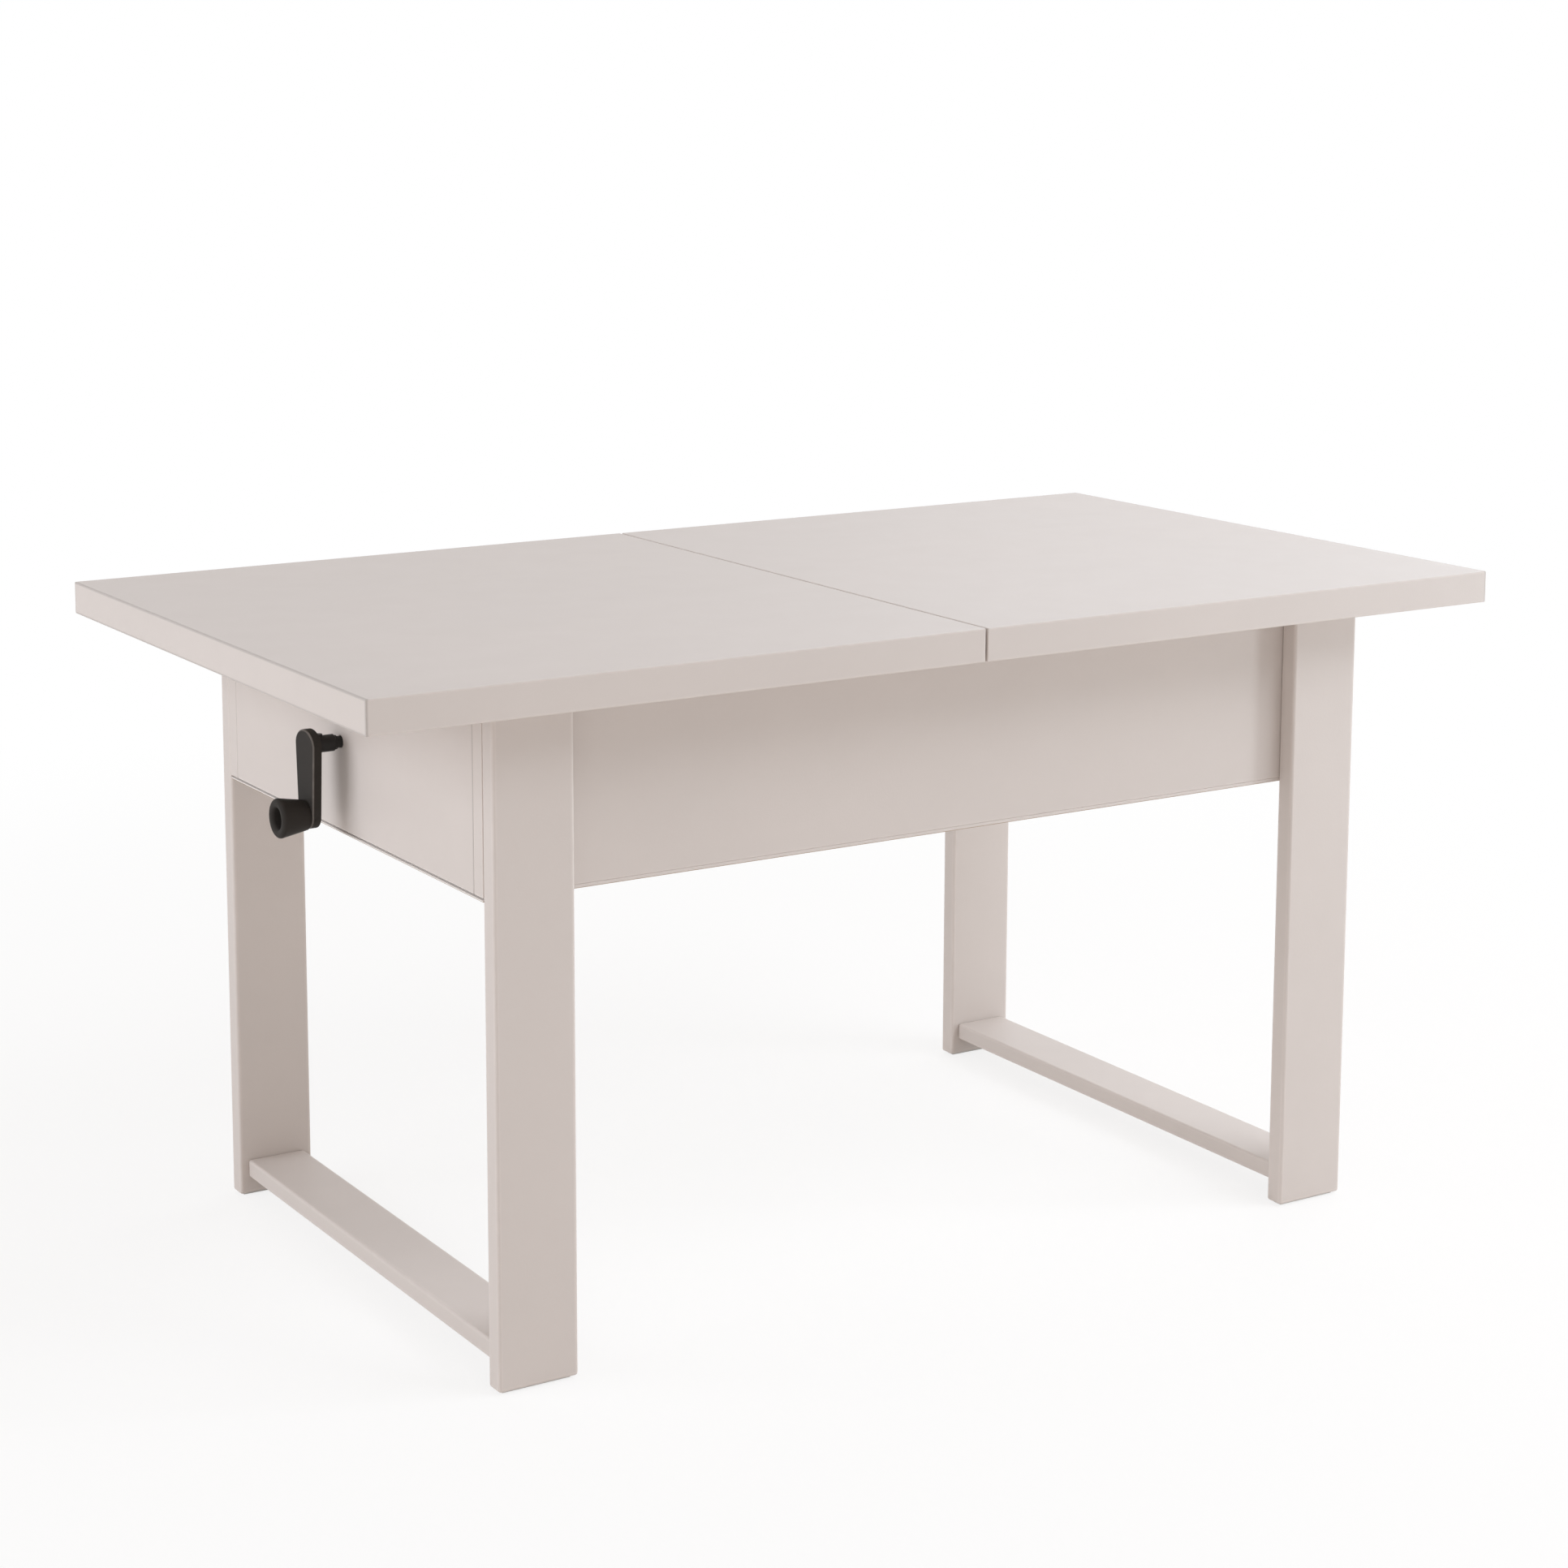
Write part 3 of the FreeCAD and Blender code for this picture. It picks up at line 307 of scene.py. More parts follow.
class Growth(Graph):
    """Geometry tree with named inputs, which ends in real geometry with a material."""

    def __init__(self, name, numbers, switches=()):
        super().__init__(bpy.data.node_groups.new(name, "GeometryNodeTree"))
        sockets = [("Geometry", "Geometry"), *((number, "Float") for number in numbers),
                   *((switch, "Bool") for switch in switches), ("Material", "Material")]
        for socket, kind in sockets:
            self.tree.interface.new_socket(socket, in_out="INPUT", socket_type="NodeSocket" + kind)
        self.tree.interface.new_socket("Geometry", in_out="OUTPUT", socket_type="NodeSocketGeometry")
        self.group = self.node("NodeGroupInput").socket.node

    def given(self, name):
        return Value(self, self.group.outputs[name])

    def vector(self, x, y, z):
        return self.node("ShaderNodeCombineXYZ", {"X": x, "Y": y, "Z": z})

    def moved(self, geometry, offset):
        return self.node("GeometryNodeTransform", {"Geometry": geometry, "Translation": offset})

    def done(self, instances):
        """The finished tree, with its instances made real and given their material."""
        real = self.node("GeometryNodeRealizeInstances", {"Geometry": instances})
        finish = {"Geometry": real, "Material": self.given("Material")}
        self.node("NodeGroupOutput", {"Geometry": self.node("GeometryNodeSetMaterial", finish)})
        return self.tree


def tinted(colour, factor):
    return tuple(min(1.0, channel * factor) for channel in colour)


def lacquer_finish(name, colour, roughness, wear_and_highlight_share, band_share):
    """Sprayed satin lacquer: faint clouds, orange peel, paler edges that are partly rubbed and partly a
    painted highlight, a darker line at edge bands.
    """
    sheen_swing = 0.1
    edge_polish = 0.06
    peel_share = 0.7
    finish = Finish(name)
    cloud = finish.noise(scale=4.5, detail=4.0)
    patch = finish.noise(scale=26.0, detail=5.0, roughness=0.6)
    peel = finish.noise(scale=520.0)
    fleck = finish.noise(scale=2400.0, detail=1.0)
    spots = finish.noise(scale=60.0, detail=4.0)
    # Paler edges, patchy: rubbed in spots, and also a painted highlight along every rounding.
    rubbed = finish.marked("edge") * finish.patchy(spots, least=0.6, low=0.38, high=0.7)
    base = finish.clouded(cloud, colour, dark=0.95, pale=1.04)
    base = finish.toned(base, patch, colour, tone=0.93, share=0.35)
    base = finish.toned(base, fleck, colour, tone=0.88, share=0.14)
    base = finish.toned(base, rubbed, colour, tone=1.14, share=wear_and_highlight_share)
    base = finish.toned(base, finish.marked("band"), colour, tone=0.62, share=band_share)
    skin = peel * peel_share + fleck * (1 - peel_share)
    return finish.done(
        Base_Color=base,
        Roughness=roughness - sheen_swing + (cloud + patch) * sheen_swing - rubbed * edge_polish,
        Normal=finish.bumped(skin, strength=0.16, distance=0.5 * MILLIMETRE),
        Specular_IOR_Level=0.35,
    )


def hardboard_finish(name, colour, raw_and_shade_colour, edge_line_z, lacquer):
    """Thin hardboard: pressed fibres under pale paint, lacquered long edges, and a thin brown line along the
    lower rounding, in the brown of bare hardboard, as painted shade under the sheet's edge.
    """
    edge_line_fade = 0.3 * MILLIMETRE
    least_roughness = 0.5
    fibre_swing = 0.16
    finish = Finish(name)
    fibre = finish.grain((90.0, 420.0, 420.0), detail=5.0, roughness=0.65)
    cloud = finish.noise(scale=7.0, detail=3.0)
    base = finish.clouded(fibre, colour, dark=0.9, pale=1.05)
    base = finish.toned(base, cloud, colour, tone=0.93, share=0.4)
    base = finish.mixed(finish.attribute("painted"), base, lacquer)
    height = finish.node("ShaderNodeSeparateXYZ", {0: finish.spot}, "Z")
    # Painted shade: the lower rounding is drawn in the brown of bare hardboard, as the dark line under the
    # sheet's edge.
    raw_and_shade_line = finish.attribute("edge") * (1 - finish.between(height, low=edge_line_z, high=edge_line_z + edge_line_fade))
    return finish.done(
        Base_Color=finish.mixed(raw_and_shade_line, base, raw_and_shade_colour),
        Roughness=least_roughness + fibre * fibre_swing,
        Normal=finish.bumped(fibre, strength=0.2, distance=0.4 * MILLIMETRE),
    )


def plastic_finish(name, colour, roughness, grain=1500.0, relief=0.22, specular=0.5):
    """Moulded plastic with a fine spark-eroded skin, and edges that are slightly polished and painted much
    paler as a highlight.
    """
    sheen_swing = 0.12
    edge_polish = 0.1
    finish = Finish(name)
    skin = finish.noise(grain, detail=3.0, roughness=0.6)
    cloud = finish.noise(scale=24.0, detail=3.0)
    spots = finish.noise(scale=140.0, detail=3.0)
    rubbed = finish.attribute("edge") * finish.patchy(spots, least=0.75, low=0.35, high=0.7)
    base = finish.clouded(cloud, colour, dark=0.85, pale=1.12)
    # Painted highlight: the edges are drawn 4.6 times paler as the glint on the crank arm's rounding, patchy
    # where they are less rubbed.
    base = finish.toned(base, rubbed, colour, tone=4.6, share=0.8)
    return finish.done(
        Base_Color=base,
        Roughness=roughness - sheen_swing / 2 + cloud * sheen_swing - rubbed * edge_polish,
        Normal=finish.bumped(skin, strength=relief, distance=0.2 * MILLIMETRE),
        Specular_IOR_Level=specular,
    )


def powder_finish(name, colour):
    """Powder-coated steel: fine pebbled skin and a few rubbed spots."""
    least_roughness = 0.44
    sheen_swing = 0.14
    spot_polish = 0.08
    finish = Finish(name)
    pebble = finish.noise(scale=1100.0)
    cloud = finish.noise(scale=11.0, detail=4.0)
    spots = finish.noise(scale=38.0, detail=6.0, roughness=0.68)
    rubbed = finish.between(spots, low=0.66, high=0.74)
    base = finish.clouded(cloud, colour, dark=0.85, pale=1.15)
    base = finish.toned(base, rubbed, colour, tone=2.2, share=0.35)
    return finish.done(
        Base_Color=base,
        Roughness=least_roughness + cloud * sheen_swing - rubbed * spot_polish,
        Normal=finish.bumped(pebble, strength=0.3, distance=0.3 * MILLIMETRE),
        IOR=1.5,
    )


def metal_finish(name, colour, roughness, lines, dirt_share):
    """Bare metal with fine drawn, turned or cast lines, cloudy sheen and a little dirt."""
    dirt_colour = (0.05, 0.045, 0.04)
    line_swing = 0.14
    cloud_swing = 0.08
    finish = Finish(name)
    streaks = finish.grain(lines, detail=4.0, roughness=0.6)
    cloud = finish.noise(scale=30.0, detail=4.0)
    spots = finish.noise(scale=55.0, detail=6.0, roughness=0.65)
    dirt = finish.between(spots, low=0.58, high=0.8) * dirt_share
    base = finish.clouded(streaks, colour, dark=0.86, pale=1.1)
    return finish.done(
        Base_Color=finish.mixed(dirt, base, dirt_colour),
        Metallic=1 - dirt,
        Roughness=roughness - line_swing / 2 + streaks * line_swing + cloud * cloud_swing,
        Normal=finish.bumped(streaks, strength=0.12, distance=0.2 * MILLIMETRE),
    )


def beech_finish(name):
    """Bare beech of the dowels: fine long grain with short darker flecks."""
    dark, pale, fleck_colour = (0.46, 0.29, 0.16), (0.62, 0.43, 0.26), (0.33, 0.19, 0.1)
    fleck_share = 0.5
    least_roughness = 0.55
    grain_swing = 0.15
    finish = Finish(name)
    grain = finish.grain((60.0, 900.0, 900.0), detail=4.0, roughness=0.6)
    fleck = finish.between(finish.grain((180.0, 1500.0, 1500.0), detail=2.0), low=0.6, high=0.72)
    base = finish.mixed(fleck * fleck_share, finish.mixed(grain, dark, pale), fleck_colour)
    return finish.done(
        Base_Color=base,
        Roughness=least_roughness + grain * grain_swing,
        Normal=finish.bumped(grain, strength=0.2, distance=0.2 * MILLIMETRE),
    )


# Fineness of a metal's lines along each axis of its piece.
DRAWN = (14.0, 1500.0, 1500.0)
TURNED = (1800.0, 240.0, 240.0)
PLATED = (500.0, 500.0, 500.0)
CAST = (900.0, 900.0, 900.0)
# Colour, roughness, lines and share of dirt of the bare metals, by their slots.
METALS = {
    "zinc_fastening": ((0.56, 0.58, 0.6), 0.33, PLATED, 0.25),
    "brass_insert": ((0.68, 0.5, 0.24), 0.3, TURNED, 0.25),
    "bright_steel": ((0.55, 0.55, 0.55), 0.26, TURNED, 0.25),
    "gear_steel": ((0.42, 0.42, 0.43), 0.22, TURNED, 0.7),
    "bronze_bush": ((0.5, 0.34, 0.19), 0.42, CAST, 0.4),
    "runner_aluminium": ((0.66, 0.67, 0.68), 0.32, DRAWN, 0.25),
}
FINISHES = {}


def finish_for(slot):
    """The finish of a material slot, made when it is first asked for."""
    if slot not in FINISHES:
        FINISHES[slot] = make_finish(slot, bpy.context.scene)
    return FINISHES[slot]


def make_finish(slot, scene):
    boards, crank, lift = scene.table_boards, scene.table_crank, scene.table_lift
    if slot in METALS:
        return metal_finish(slot, *METALS[slot])
    if slot in ("frame_board", "top_board"):
        return lacquer_finish(slot, boards.lacquer, boards.gloss, boards.edge_wear_and_highlight, boards.band)
    # Top of the painted shade line along the sheet's lower rounding.
    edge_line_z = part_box("bottom_sheet")[0].z + boards.sheet_edge
    makers = {
        "bottom_sheet": lambda: hardboard_finish(slot, boards.sheet, boards.sheet_raw_and_shade, edge_line_z, boards.lacquer),
        "dowel_wood": lambda: beech_finish(slot),
        "lift_steel": lambda: powder_finish(slot, lift.powder),
        "arm_steel": lambda: powder_finish(slot, lift.arm_powder),
        "glide_plastic": lambda: plastic_finish(slot, (0.62, 0.6, 0.57), roughness=0.5, grain=900.0),
        "nylon": lambda: plastic_finish(slot, (0.66, 0.645, 0.59), roughness=0.42, grain=700.0, relief=0.12),
        "crank_plastic": lambda: plastic_finish(slot, crank.plastic, crank.roughness, specular=0.02),
        "crank_steel": lambda: plastic_finish(slot, crank.steel, crank.roughness, specular=0.25),
    }
    return makers[slot]()


def slot_of(node):
    """Material slot that the record gives a CAD node."""
    return next(part["material_slot"] for part in frame["record"]["subparts"] if part["node"] == node)


def body_of(node):
    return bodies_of(frame["nodes"][node])[0]


def dress_nodes(on_crank):
    """Give the CAD nodes that stay in view their finish: those on the crank, or all the others."""
    for node, made in frame["nodes"].items():
        if not made.hide_render and (body_of(node) in CRANK_BODIES) == on_crank:
            made.data.materials.clear()
            made.data.materials.append(finish_for(slot_of(node)))


def add_object(name, data):
    made = bpy.data.objects.new(name, data)
    bpy.context.scene.collection.objects.link(made)
    return made


def mesh_of(form, name):
    """New mesh from a bmesh, which is freed."""
    mesh = bpy.data.meshes.new(name)
    form.to_mesh(mesh)
    form.free()
    return mesh


def place_piece(made, body, slot, *replaced):
    """Give a piece its material and its body, in place of the CAD nodes that it stands for."""
    made.data.materials.clear()
    made.data.materials.append(finish_for(slot))
    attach(made, body)
    if replaced:
        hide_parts(*replaced)


def bake_modifiers(made):
    """Turn an object's modifiers into its plain mesh."""
    graph = bpy.context.evaluated_depsgraph_get()
    mesh = bpy.data.meshes.new_from_object(made.evaluated_get(graph))
    made.modifiers.clear()
    old = made.data
    made.data = mesh
    bpy.data.meshes.remove(old)
    mesh.name = made.name


def drop(*objects):
    for made in objects:
        mesh = made.data
        bpy.data.objects.remove(made)
        bpy.data.meshes.remove(mesh)


def along_axis(axis, sign):
    """Direction along one axis."""
    aim = Vector((0, 0, 0))
    aim[axis] = sign
    return aim


def tool_rod(start, end, radius, steps=40):
    """Plain rod between two points, used to drill a board."""
    form = bmesh.new()
    run = end - start
    turn = run.to_track_quat("Z", "Y").to_matrix().to_4x4()
    bmesh.ops.create_cone(form, cap_ends=True, segments=steps, radius1=radius, radius2=radius,
                          depth=run.length, matrix=Matrix.Translation((start + end) / 2) @ turn)
    return add_object("drill", mesh_of(form, "drill"))


def box_mesh(name, low, high):
    """Plain box between two corners."""
    form = bmesh.new()
    bmesh.ops.create_cube(form, size=1.0)
    bmesh.ops.transform(form, verts=form.verts,
                        matrix=Matrix.Translation((low + high) / 2) @ Matrix.Diagonal((*(high - low), 1)))
    return mesh_of(form, name)


def mark_edges(mesh, low, high, radius, bands):
    """Support loops on the flat faces, and attributes that are 1 on the roundings and fade beside them.

    The band attribute has the roundings at the faces listed in bands, the edge attribute all others.
    """
    settings = bpy.context.scene.table_boards
    flat_count = 6
    form = bmesh.new()
    form.from_mesh(mesh)
    flats = sorted(form.faces, key=lambda face: face.calc_area())[-flat_count:]
    narrowest_half = min(high - low) / 2 - radius
    margin = min(settings.edge_margin, narrowest_half / 2)
    bmesh.ops.inset_individual(form, faces=flats, thickness=margin, depth=0)
    for axis, place in bands:
        inward = 1 if place < (low[axis] + high[axis]) / 2 else -1
        across = along_axis(axis, 1)
        bmesh.ops.bisect_plane(form, geom=[*form.verts, *form.edges, *form.faces], dist=TOUCH,
                               plane_co=across * (place + inward * (radius + margin)), plane_no=across)
    edge = form.verts.layers.float.new("edge")
    band = form.verts.layers.float.new("band")
    reach = radius * ROUNDING_SHARE
    # A vertex on a rounding is near two sides of the box.
    for vertex in form.verts:
        near = sorted(min(vertex.co[axis] - low[axis], high[axis] - vertex.co[axis]) for axis in (X, Y, Z))
        rounded = near[1] < reach
        banded = any(abs(vertex.co[axis] - place) < reach for axis, place in bands)
        vertex[edge] = float(rounded and not banded)
        vertex[band] = float(rounded and banded)
    for face in form.faces:
        face.smooth = True
    form.to_mesh(mesh)
    form.free()


def even_shading(made):
    """Normals that keep the flat faces beside a rounding flat."""
    made.modifiers.new("even shading", "WEIGHTED_NORMAL").keep_sharp = True
    bake_modifiers(made)


def board(name, low, high, radius, holes=(), bands=()):
    """Board with rounded and marked edges, drilled where holes are given."""
    made = add_object(name, box_mesh(name, low, high))
    rounding = made.modifiers.new("rounding", "BEVEL")
    rounding.width = radius
    rounding.segments = bpy.context.scene.table_boards.edge_steps
    rounding.limit_method = "NONE"
    bake_modifiers(made)
    mark_edges(made.data, low, high, radius, bands)
    drills = [tool_rod(*hole) for hole in holes]
    for drill in drills:
        cut = made.modifiers.new("drill", "BOOLEAN")
        cut.operation = "DIFFERENCE"
        cut.solver = "EXACT"
        cut.object = drill
    even_shading(made)
    drop(*drills)
    return made


def rebated_sheet(name, low, high, radius):
    """Bottom sheet whose upper layer stands back at both ends, for a shadow line under the end panels.

    Its long edges are marked as painted, because they carry on the faces of the long panels.
    """
    settings = bpy.context.scene.table_boards
    back = Vector((settings.sheet_setback, settings.sheet_joint, 0))
    step = Vector((0, 0, high.z - low.z - settings.sheet_rebate))
    lower = board(name, low, Vector((high.x, high.y, low.z)) + step, radius)
    upper = board("sheet_core", low + back + step / 2, high - back, radius / 2)
    form = bmesh.new()
    form.from_mesh(lower.data)
    form.from_mesh(upper.data)
    painted = form.verts.layers.float.new("painted")
    for vertex in form.verts:
        side_room = min(vertex.co.y - low.y, high.y - vertex.co.y)
        vertex[painted] = float(side_room < radius * ROUNDING_SHARE)
    form.to_mesh(lower.data)
    form.free()
    drop(upper)
    return lower


def solids_of(node):
    """Lowest and highest corner of each separate solid in a CAD node."""
    form = bmesh.new()
    form.from_mesh(frame["nodes"][node].data)
    bmesh.ops.remove_doubles(form, verts=form.verts, dist=TOUCH)
    left = set(form.verts)
    boxes = []
    while left:
        reached = [left.pop()]
        points = []
        while reached:
            vertex = reached.pop()
            points.append(vertex.co.copy())
            for edge in vertex.link_edges:
                other = edge.other_vert(vertex)
                if other in left:
                    left.remove(other)
                    reached.append(other)
        boxes.append((Vector(map(min, *points)), Vector(map(max, *points))))
    form.free()
    return sorted(boxes, key=lambda box: tuple(box[0]))


def build_boards(*slots):
    """Boards in place of the CAD nodes that have these material slots."""
    settings = bpy.context.scene.table_boards
    radii = {"leg": settings.leg_edge, "stretcher": settings.stretcher_edge, "side": settings.panel_edge,
             "end": settings.panel_edge, "bottom": settings.sheet_edge, "top": settings.top_edge,
             "leaf": settings.top_edge}
    names = [node for node in frame["nodes"] if slot_of(node) in slots]
    for node in sorted(names):
        low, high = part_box(node)
        radius = radii[node.split("_")[0]]
        if node == "bottom_sheet":
            made = rebated_sheet("board_" + node, low, high, radius)
        else:
            holes, bands = board_holes(node, low, high), band_faces(node, low, high)
            made = board("board_" + node, low, high, radius, holes, bands)
        place_piece(made, body_of(node), slot_of(node), node)


def band_faces(node, low, high):
    """Axis and place of faces with a darker line round them: the top's outer ends, the end panels' sides."""
    if node == "top_panel_left":
        return [(X, low.x)]
    if node == "top_panel_right":
        return [(X, high.x)]
    if node.startswith("end_panel"):
        return [(Y, low.y), (Y, high.y)]
    return []


def board_holes(node, low, high):
    """Crank hole of the left end panel and dowel holes of the two seam edges, as rods to cut away."""
    past = Vector((MILLIMETRE, 0, 0))
    if node == "end_panel_left":
        spindle_low, spindle_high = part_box("crank_spindle")
        middle = (spindle_low + spindle_high) / 2
        start = Vector((low.x, middle.y, worm_axis_z()))
        return [(start - past, Vector((high.x, start.y, start.z)) + past, CRANK_HOLE_RADIUS)]
    if node.startswith("top_panel"):
        sign = -1 if node.endswith("left") else 1
        drills = []
        for pin_low, pin_high in solids_of("seam_pins"):
            middle = (pin_low + pin_high) / 2
            radius = (pin_high.z - pin_low.z) / 2 + PIN_ROOM
            reach = (pin_high.x - pin_low.x) / 2 + MILLIMETRE
            drills.append((Vector((-sign * MILLIMETRE, middle.y, middle.z)),
                           Vector((sign * reach, middle.y, middle.z)), radius))
        return drills
    return []


def worm_axis_z():
    low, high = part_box("worm")
    return (low.z + high.z) / 2


SCREW_SIZES = ("Head Radius", "Head Height", "Shank Radius", "Shank Length", "Recess Width", "Recess Depth")


def screw_tree():
    """Screws or bolts on points, each turned to the point's aim, with a cross or a hexagon recess."""
    crown_share = 0.74
    cross_share = 1.05
    hexagon_share = 0.5
    tree = Growth("Screws", SCREW_SIZES, ("Hexagon",))
    head_radius, head_height = tree.given("Head Radius"), tree.given("Head Height")
    recess_width, recess_height = tree.given("Recess Width"), tree.given("Recess Depth") * 2
    shank_length = tree.given("Shank Length")
    head = tree.node("GeometryNodeMeshCone", {
        "Vertices": 28, "Side Segments": 1, "Radius Top": head_radius * crown_share,
        "Radius Bottom": head_radius, "Depth": head_height})
    cross_length = head_radius * cross_share
    bars = [tree.node("GeometryNodeMeshCube", {"Size": tree.vector(*sizes, recess_height)})
            for sizes in ((cross_length, recess_width), (recess_width, cross_length))]
    cross = tree.node("GeometryNodeMeshBoolean", {"Mesh 2": bars}, operation="UNION", solver="EXACT")
    hexagon = tree.node("GeometryNodeMeshCylinder", {
        "Vertices": 6, "Radius": head_radius * hexagon_share, "Depth": recess_height})
    choice = {"Switch": tree.given("Hexagon"), "False": cross, "True": hexagon}
    chosen = tree.node("GeometryNodeSwitch", choice, input_type="GEOMETRY")
    recess = tree.moved(chosen, tree.vector(0.0, 0.0, head_height))
    cut_head = tree.node("GeometryNodeMeshBoolean", {"Mesh 1": head, "Mesh 2": recess},
                         operation="DIFFERENCE", solver="EXACT")
    shank = tree.node("GeometryNodeMeshCylinder", {
        "Vertices": 14, "Radius": tree.given("Shank Radius"), "Depth": shank_length})
    shank = tree.moved(shank, tree.vector(0.0, 0.0, shank_length * -0.5))
    screw = tree.node("GeometryNodeJoinGeometry", {"Geometry": [cut_head, shank]})
    aim = tree.node("GeometryNodeInputNamedAttribute", {"Name": "aim"}, data_type="FLOAT_VECTOR")
    turn = tree.node("FunctionNodeAlignRotationToVector", {"Vector": aim}, axis="Z")
    return tree.done(tree.node("GeometryNodeInstanceOnPoints", {
        "Points": tree.given("Geometry"), "Instance": screw, "Rotation": turn}))


def weld_tree():
    """Weld beads: overlapping ripples of uneven size along the edges of a mesh of lines."""
    tree = Growth("Weld beads", ("Bead Radius", "Bead Step"))
    curve = tree.node("GeometryNodeMeshToCurve", {"Mesh": tree.given("Geometry")})
    spacing = {"Curve": curve, "Length": tree.given("Bead Step")}
    spaced = tree.node("GeometryNodeResampleCurve", spacing, mode="LENGTH")
    ripple = tree.node("GeometryNodeMeshUVSphere", {
        "Segments": 8, "Rings": 5, "Radius": tree.given("Bead Radius")})
    uneven = tree.node("FunctionNodeRandomValue", {"Min": 0.82, "Max": 1.1, "Seed": 7}, output=1,
                       data_type="FLOAT")
    return tree.done(tree.node("GeometryNodeInstanceOnPoints", {
        "Points": spaced, "Instance": ripple, "Scale": uneven}))


def grown(name, mesh, tree, values):
    """Plain mesh object made by a geometry tree from a starting mesh."""
    made = add_object(name, mesh)
    modifier = made.modifiers.new("nodes", "NODES")
    modifier.node_group = tree
    for item in tree.interface.items_tree:
        if item.in_out == "INPUT" and item.name in values:
            modifier[item.identifier] = values[item.name]
    bake_modifiers(made)
    return made


def points_mesh(name, places):
    """Loose points, each with the direction that its screw head faces."""
    mesh = bpy.data.meshes.new(name)
    mesh.from_pydata([tuple(place) for place, _ in places], [], [])
    layer = mesh.attributes.new("aim", "FLOAT_VECTOR", "POINT")
    for item, (_, aim) in zip(layer.data, places):
        item.vector = aim
    return mesh


def lines_mesh(name, lines):
    """Loose edges, one for each line."""
    mesh = bpy.data.meshes.new(name)
    points = [tuple(point) for line in lines for point in line]
    mesh.from_pydata(points, [(2 * number, 2 * number + 1) for number in range(len(lines))], [])
    return mesh


def screws(name, tree, places, sizes, body, slot, *replaced, hexagon=False):
    """One mesh of screws at places; sizes has the order of SCREW_SIZES."""
    values = dict(zip(SCREW_SIZES, sizes), Hexagon=hexagon, Material=finish_for(slot))
    made = grown(name, points_mesh(name, places), tree, values)
    place_piece(made, body, slot, *replaced)


def cad_screws(node, tree, axis, head_height, shank_radius, recess, head_sign=0, hexagon=False):
    """Screws in place of a CAD group along an axis; head_sign 0 turns the heads to the table's middle."""
    boxes = solids_of(node)
    across = (axis + 1) % 3
    places = []
    for low, high in boxes:
        seat = (low + high) / 2
        sign = head_sign or (-1 if seat[axis] > 0 else 1)
        seat[axis] = (high[axis] - head_height) if sign > 0 else (low[axis] + head_height)
        places.append((seat, along_axis(axis, sign)))
    low, high = boxes[0]
    head_radius = (high[across] - low[across]) / 2
    length = high[axis] - low[axis] - head_height
    sizes = (head_radius, head_height, shank_radius, length, *recess)
    screws("detail_" + node, tree, places, sizes, body_of(node), slot_of(node), node, hexagon=hexagon)


def build_fastenings():
    """Screws and leg bolts in place of their CAD solids, and the screws of sheet and brackets."""
    settings = bpy.context.scene.table_fasteners
    tree = screw_tree()
    recess = (settings.slot_width, settings.slot_depth)
    pan_head = (settings.head_height, settings.shank, recess)
    bolt_head = (settings.bolt_height, settings.bolt_shank, (settings.slot_width, settings.bolt_socket))
    cad_screws("channel_screws", tree, Y, *pan_head)
    cad_screws("leg_bolts", tree, Y, *bolt_head, hexagon=True)
    cad_screws("gear_frame_screws", tree, X, *pan_head, head_sign=1)
    for end in ENDS:
        cad_screws("runner_screws_" + end, tree, Z, *pan_head, head_sign=-1)
    build_sheet_screws(tree, recess)
    build_bracket_screws(tree, recess)


def build_sheet_screws(tree, recess):
    """Screws up through the bottom sheet into the edges of the panels above it."""
    settings = bpy.context.scene.table_fasteners
    low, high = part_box("bottom_sheet")
    panel_low, panel_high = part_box("side_panel_rear")
    inset = (panel_high.y - panel_low.y) / 2
    end_room = 2 * inset
    places = []
    for axis, other in ((X, Y), (Y, X)):
        span = high[axis] - low[axis] - 2 * end_room
        count = math.ceil(span / settings.sheet_step)
        for number in range(count + 1):
            for edge in (low[other] + inset, high[other] - inset):
                place = Vector((0, 0, low.z))
                place[axis] = low[axis] + end_room + span * number / count
                place[other] = edge
                places.append((place, along_axis(Z, -1)))
    sizes = (settings.sheet_head, settings.sheet_proud, settings.shank, settings.sheet_length, *recess)
    screws("detail_sheet_screws", tree, places, sizes, "base", "zinc_fastening")


def build_bracket_screws(tree, recess):
    """Two screws in each leaf of the four corner brackets."""
    settings = bpy.context.scene.table_fasteners
    height_shares = (0.28, 0.72)
    reach_share = 0.62
    head_radius = 2 * settings.shank
    places = []
    for low, high in solids_of("corner_brackets"):
        size = high - low
        inward = [1 if low[axis] + high[axis] < 0 else -1 for axis in (X, Y)]
        corner = [low[axis] if inward[axis] > 0 else high[axis] for axis in (X, Y)]
        for height_share in height_shares:
            for across, along in ((Y, X), (X, Y)):
                place = Vector((0, 0, low.z + height_share * size.z))
                place[across] = corner[across] + inward[across] * BRACKET_WALL
                place[along] = corner[along] + inward[along] * reach_share * size[along]
                places.append((place, along_axis(across, inward[across])))
    sizes = (head_radius, settings.head_height, settings.shank, settings.bracket_length, *recess)
    screws("detail_bracket_screws", tree, places, sizes, "base", "zinc_fastening")


def build_lift():
    """Finishes of the CAD nodes still in view, apart from the crank's, and the weld beads of the lift."""
    settings = bpy.context.scene.table_lift
    dress_nodes(on_crank=False)
    tree = weld_tree()
    slot = "lift_steel"
    values = {"Bead Radius": settings.bead_radius, "Bead Step": settings.bead_step,
              "Material": finish_for(slot)}
    welds = (("frame", "lift_frame", frame_weld_lines()), ("gear", "base", gear_weld_lines()))
    for name, body, lines in welds:
        made = grown(f"detail_{name}_welds", lines_mesh(name + " welds", lines), tree, values)
        place_piece(made, body, slot)


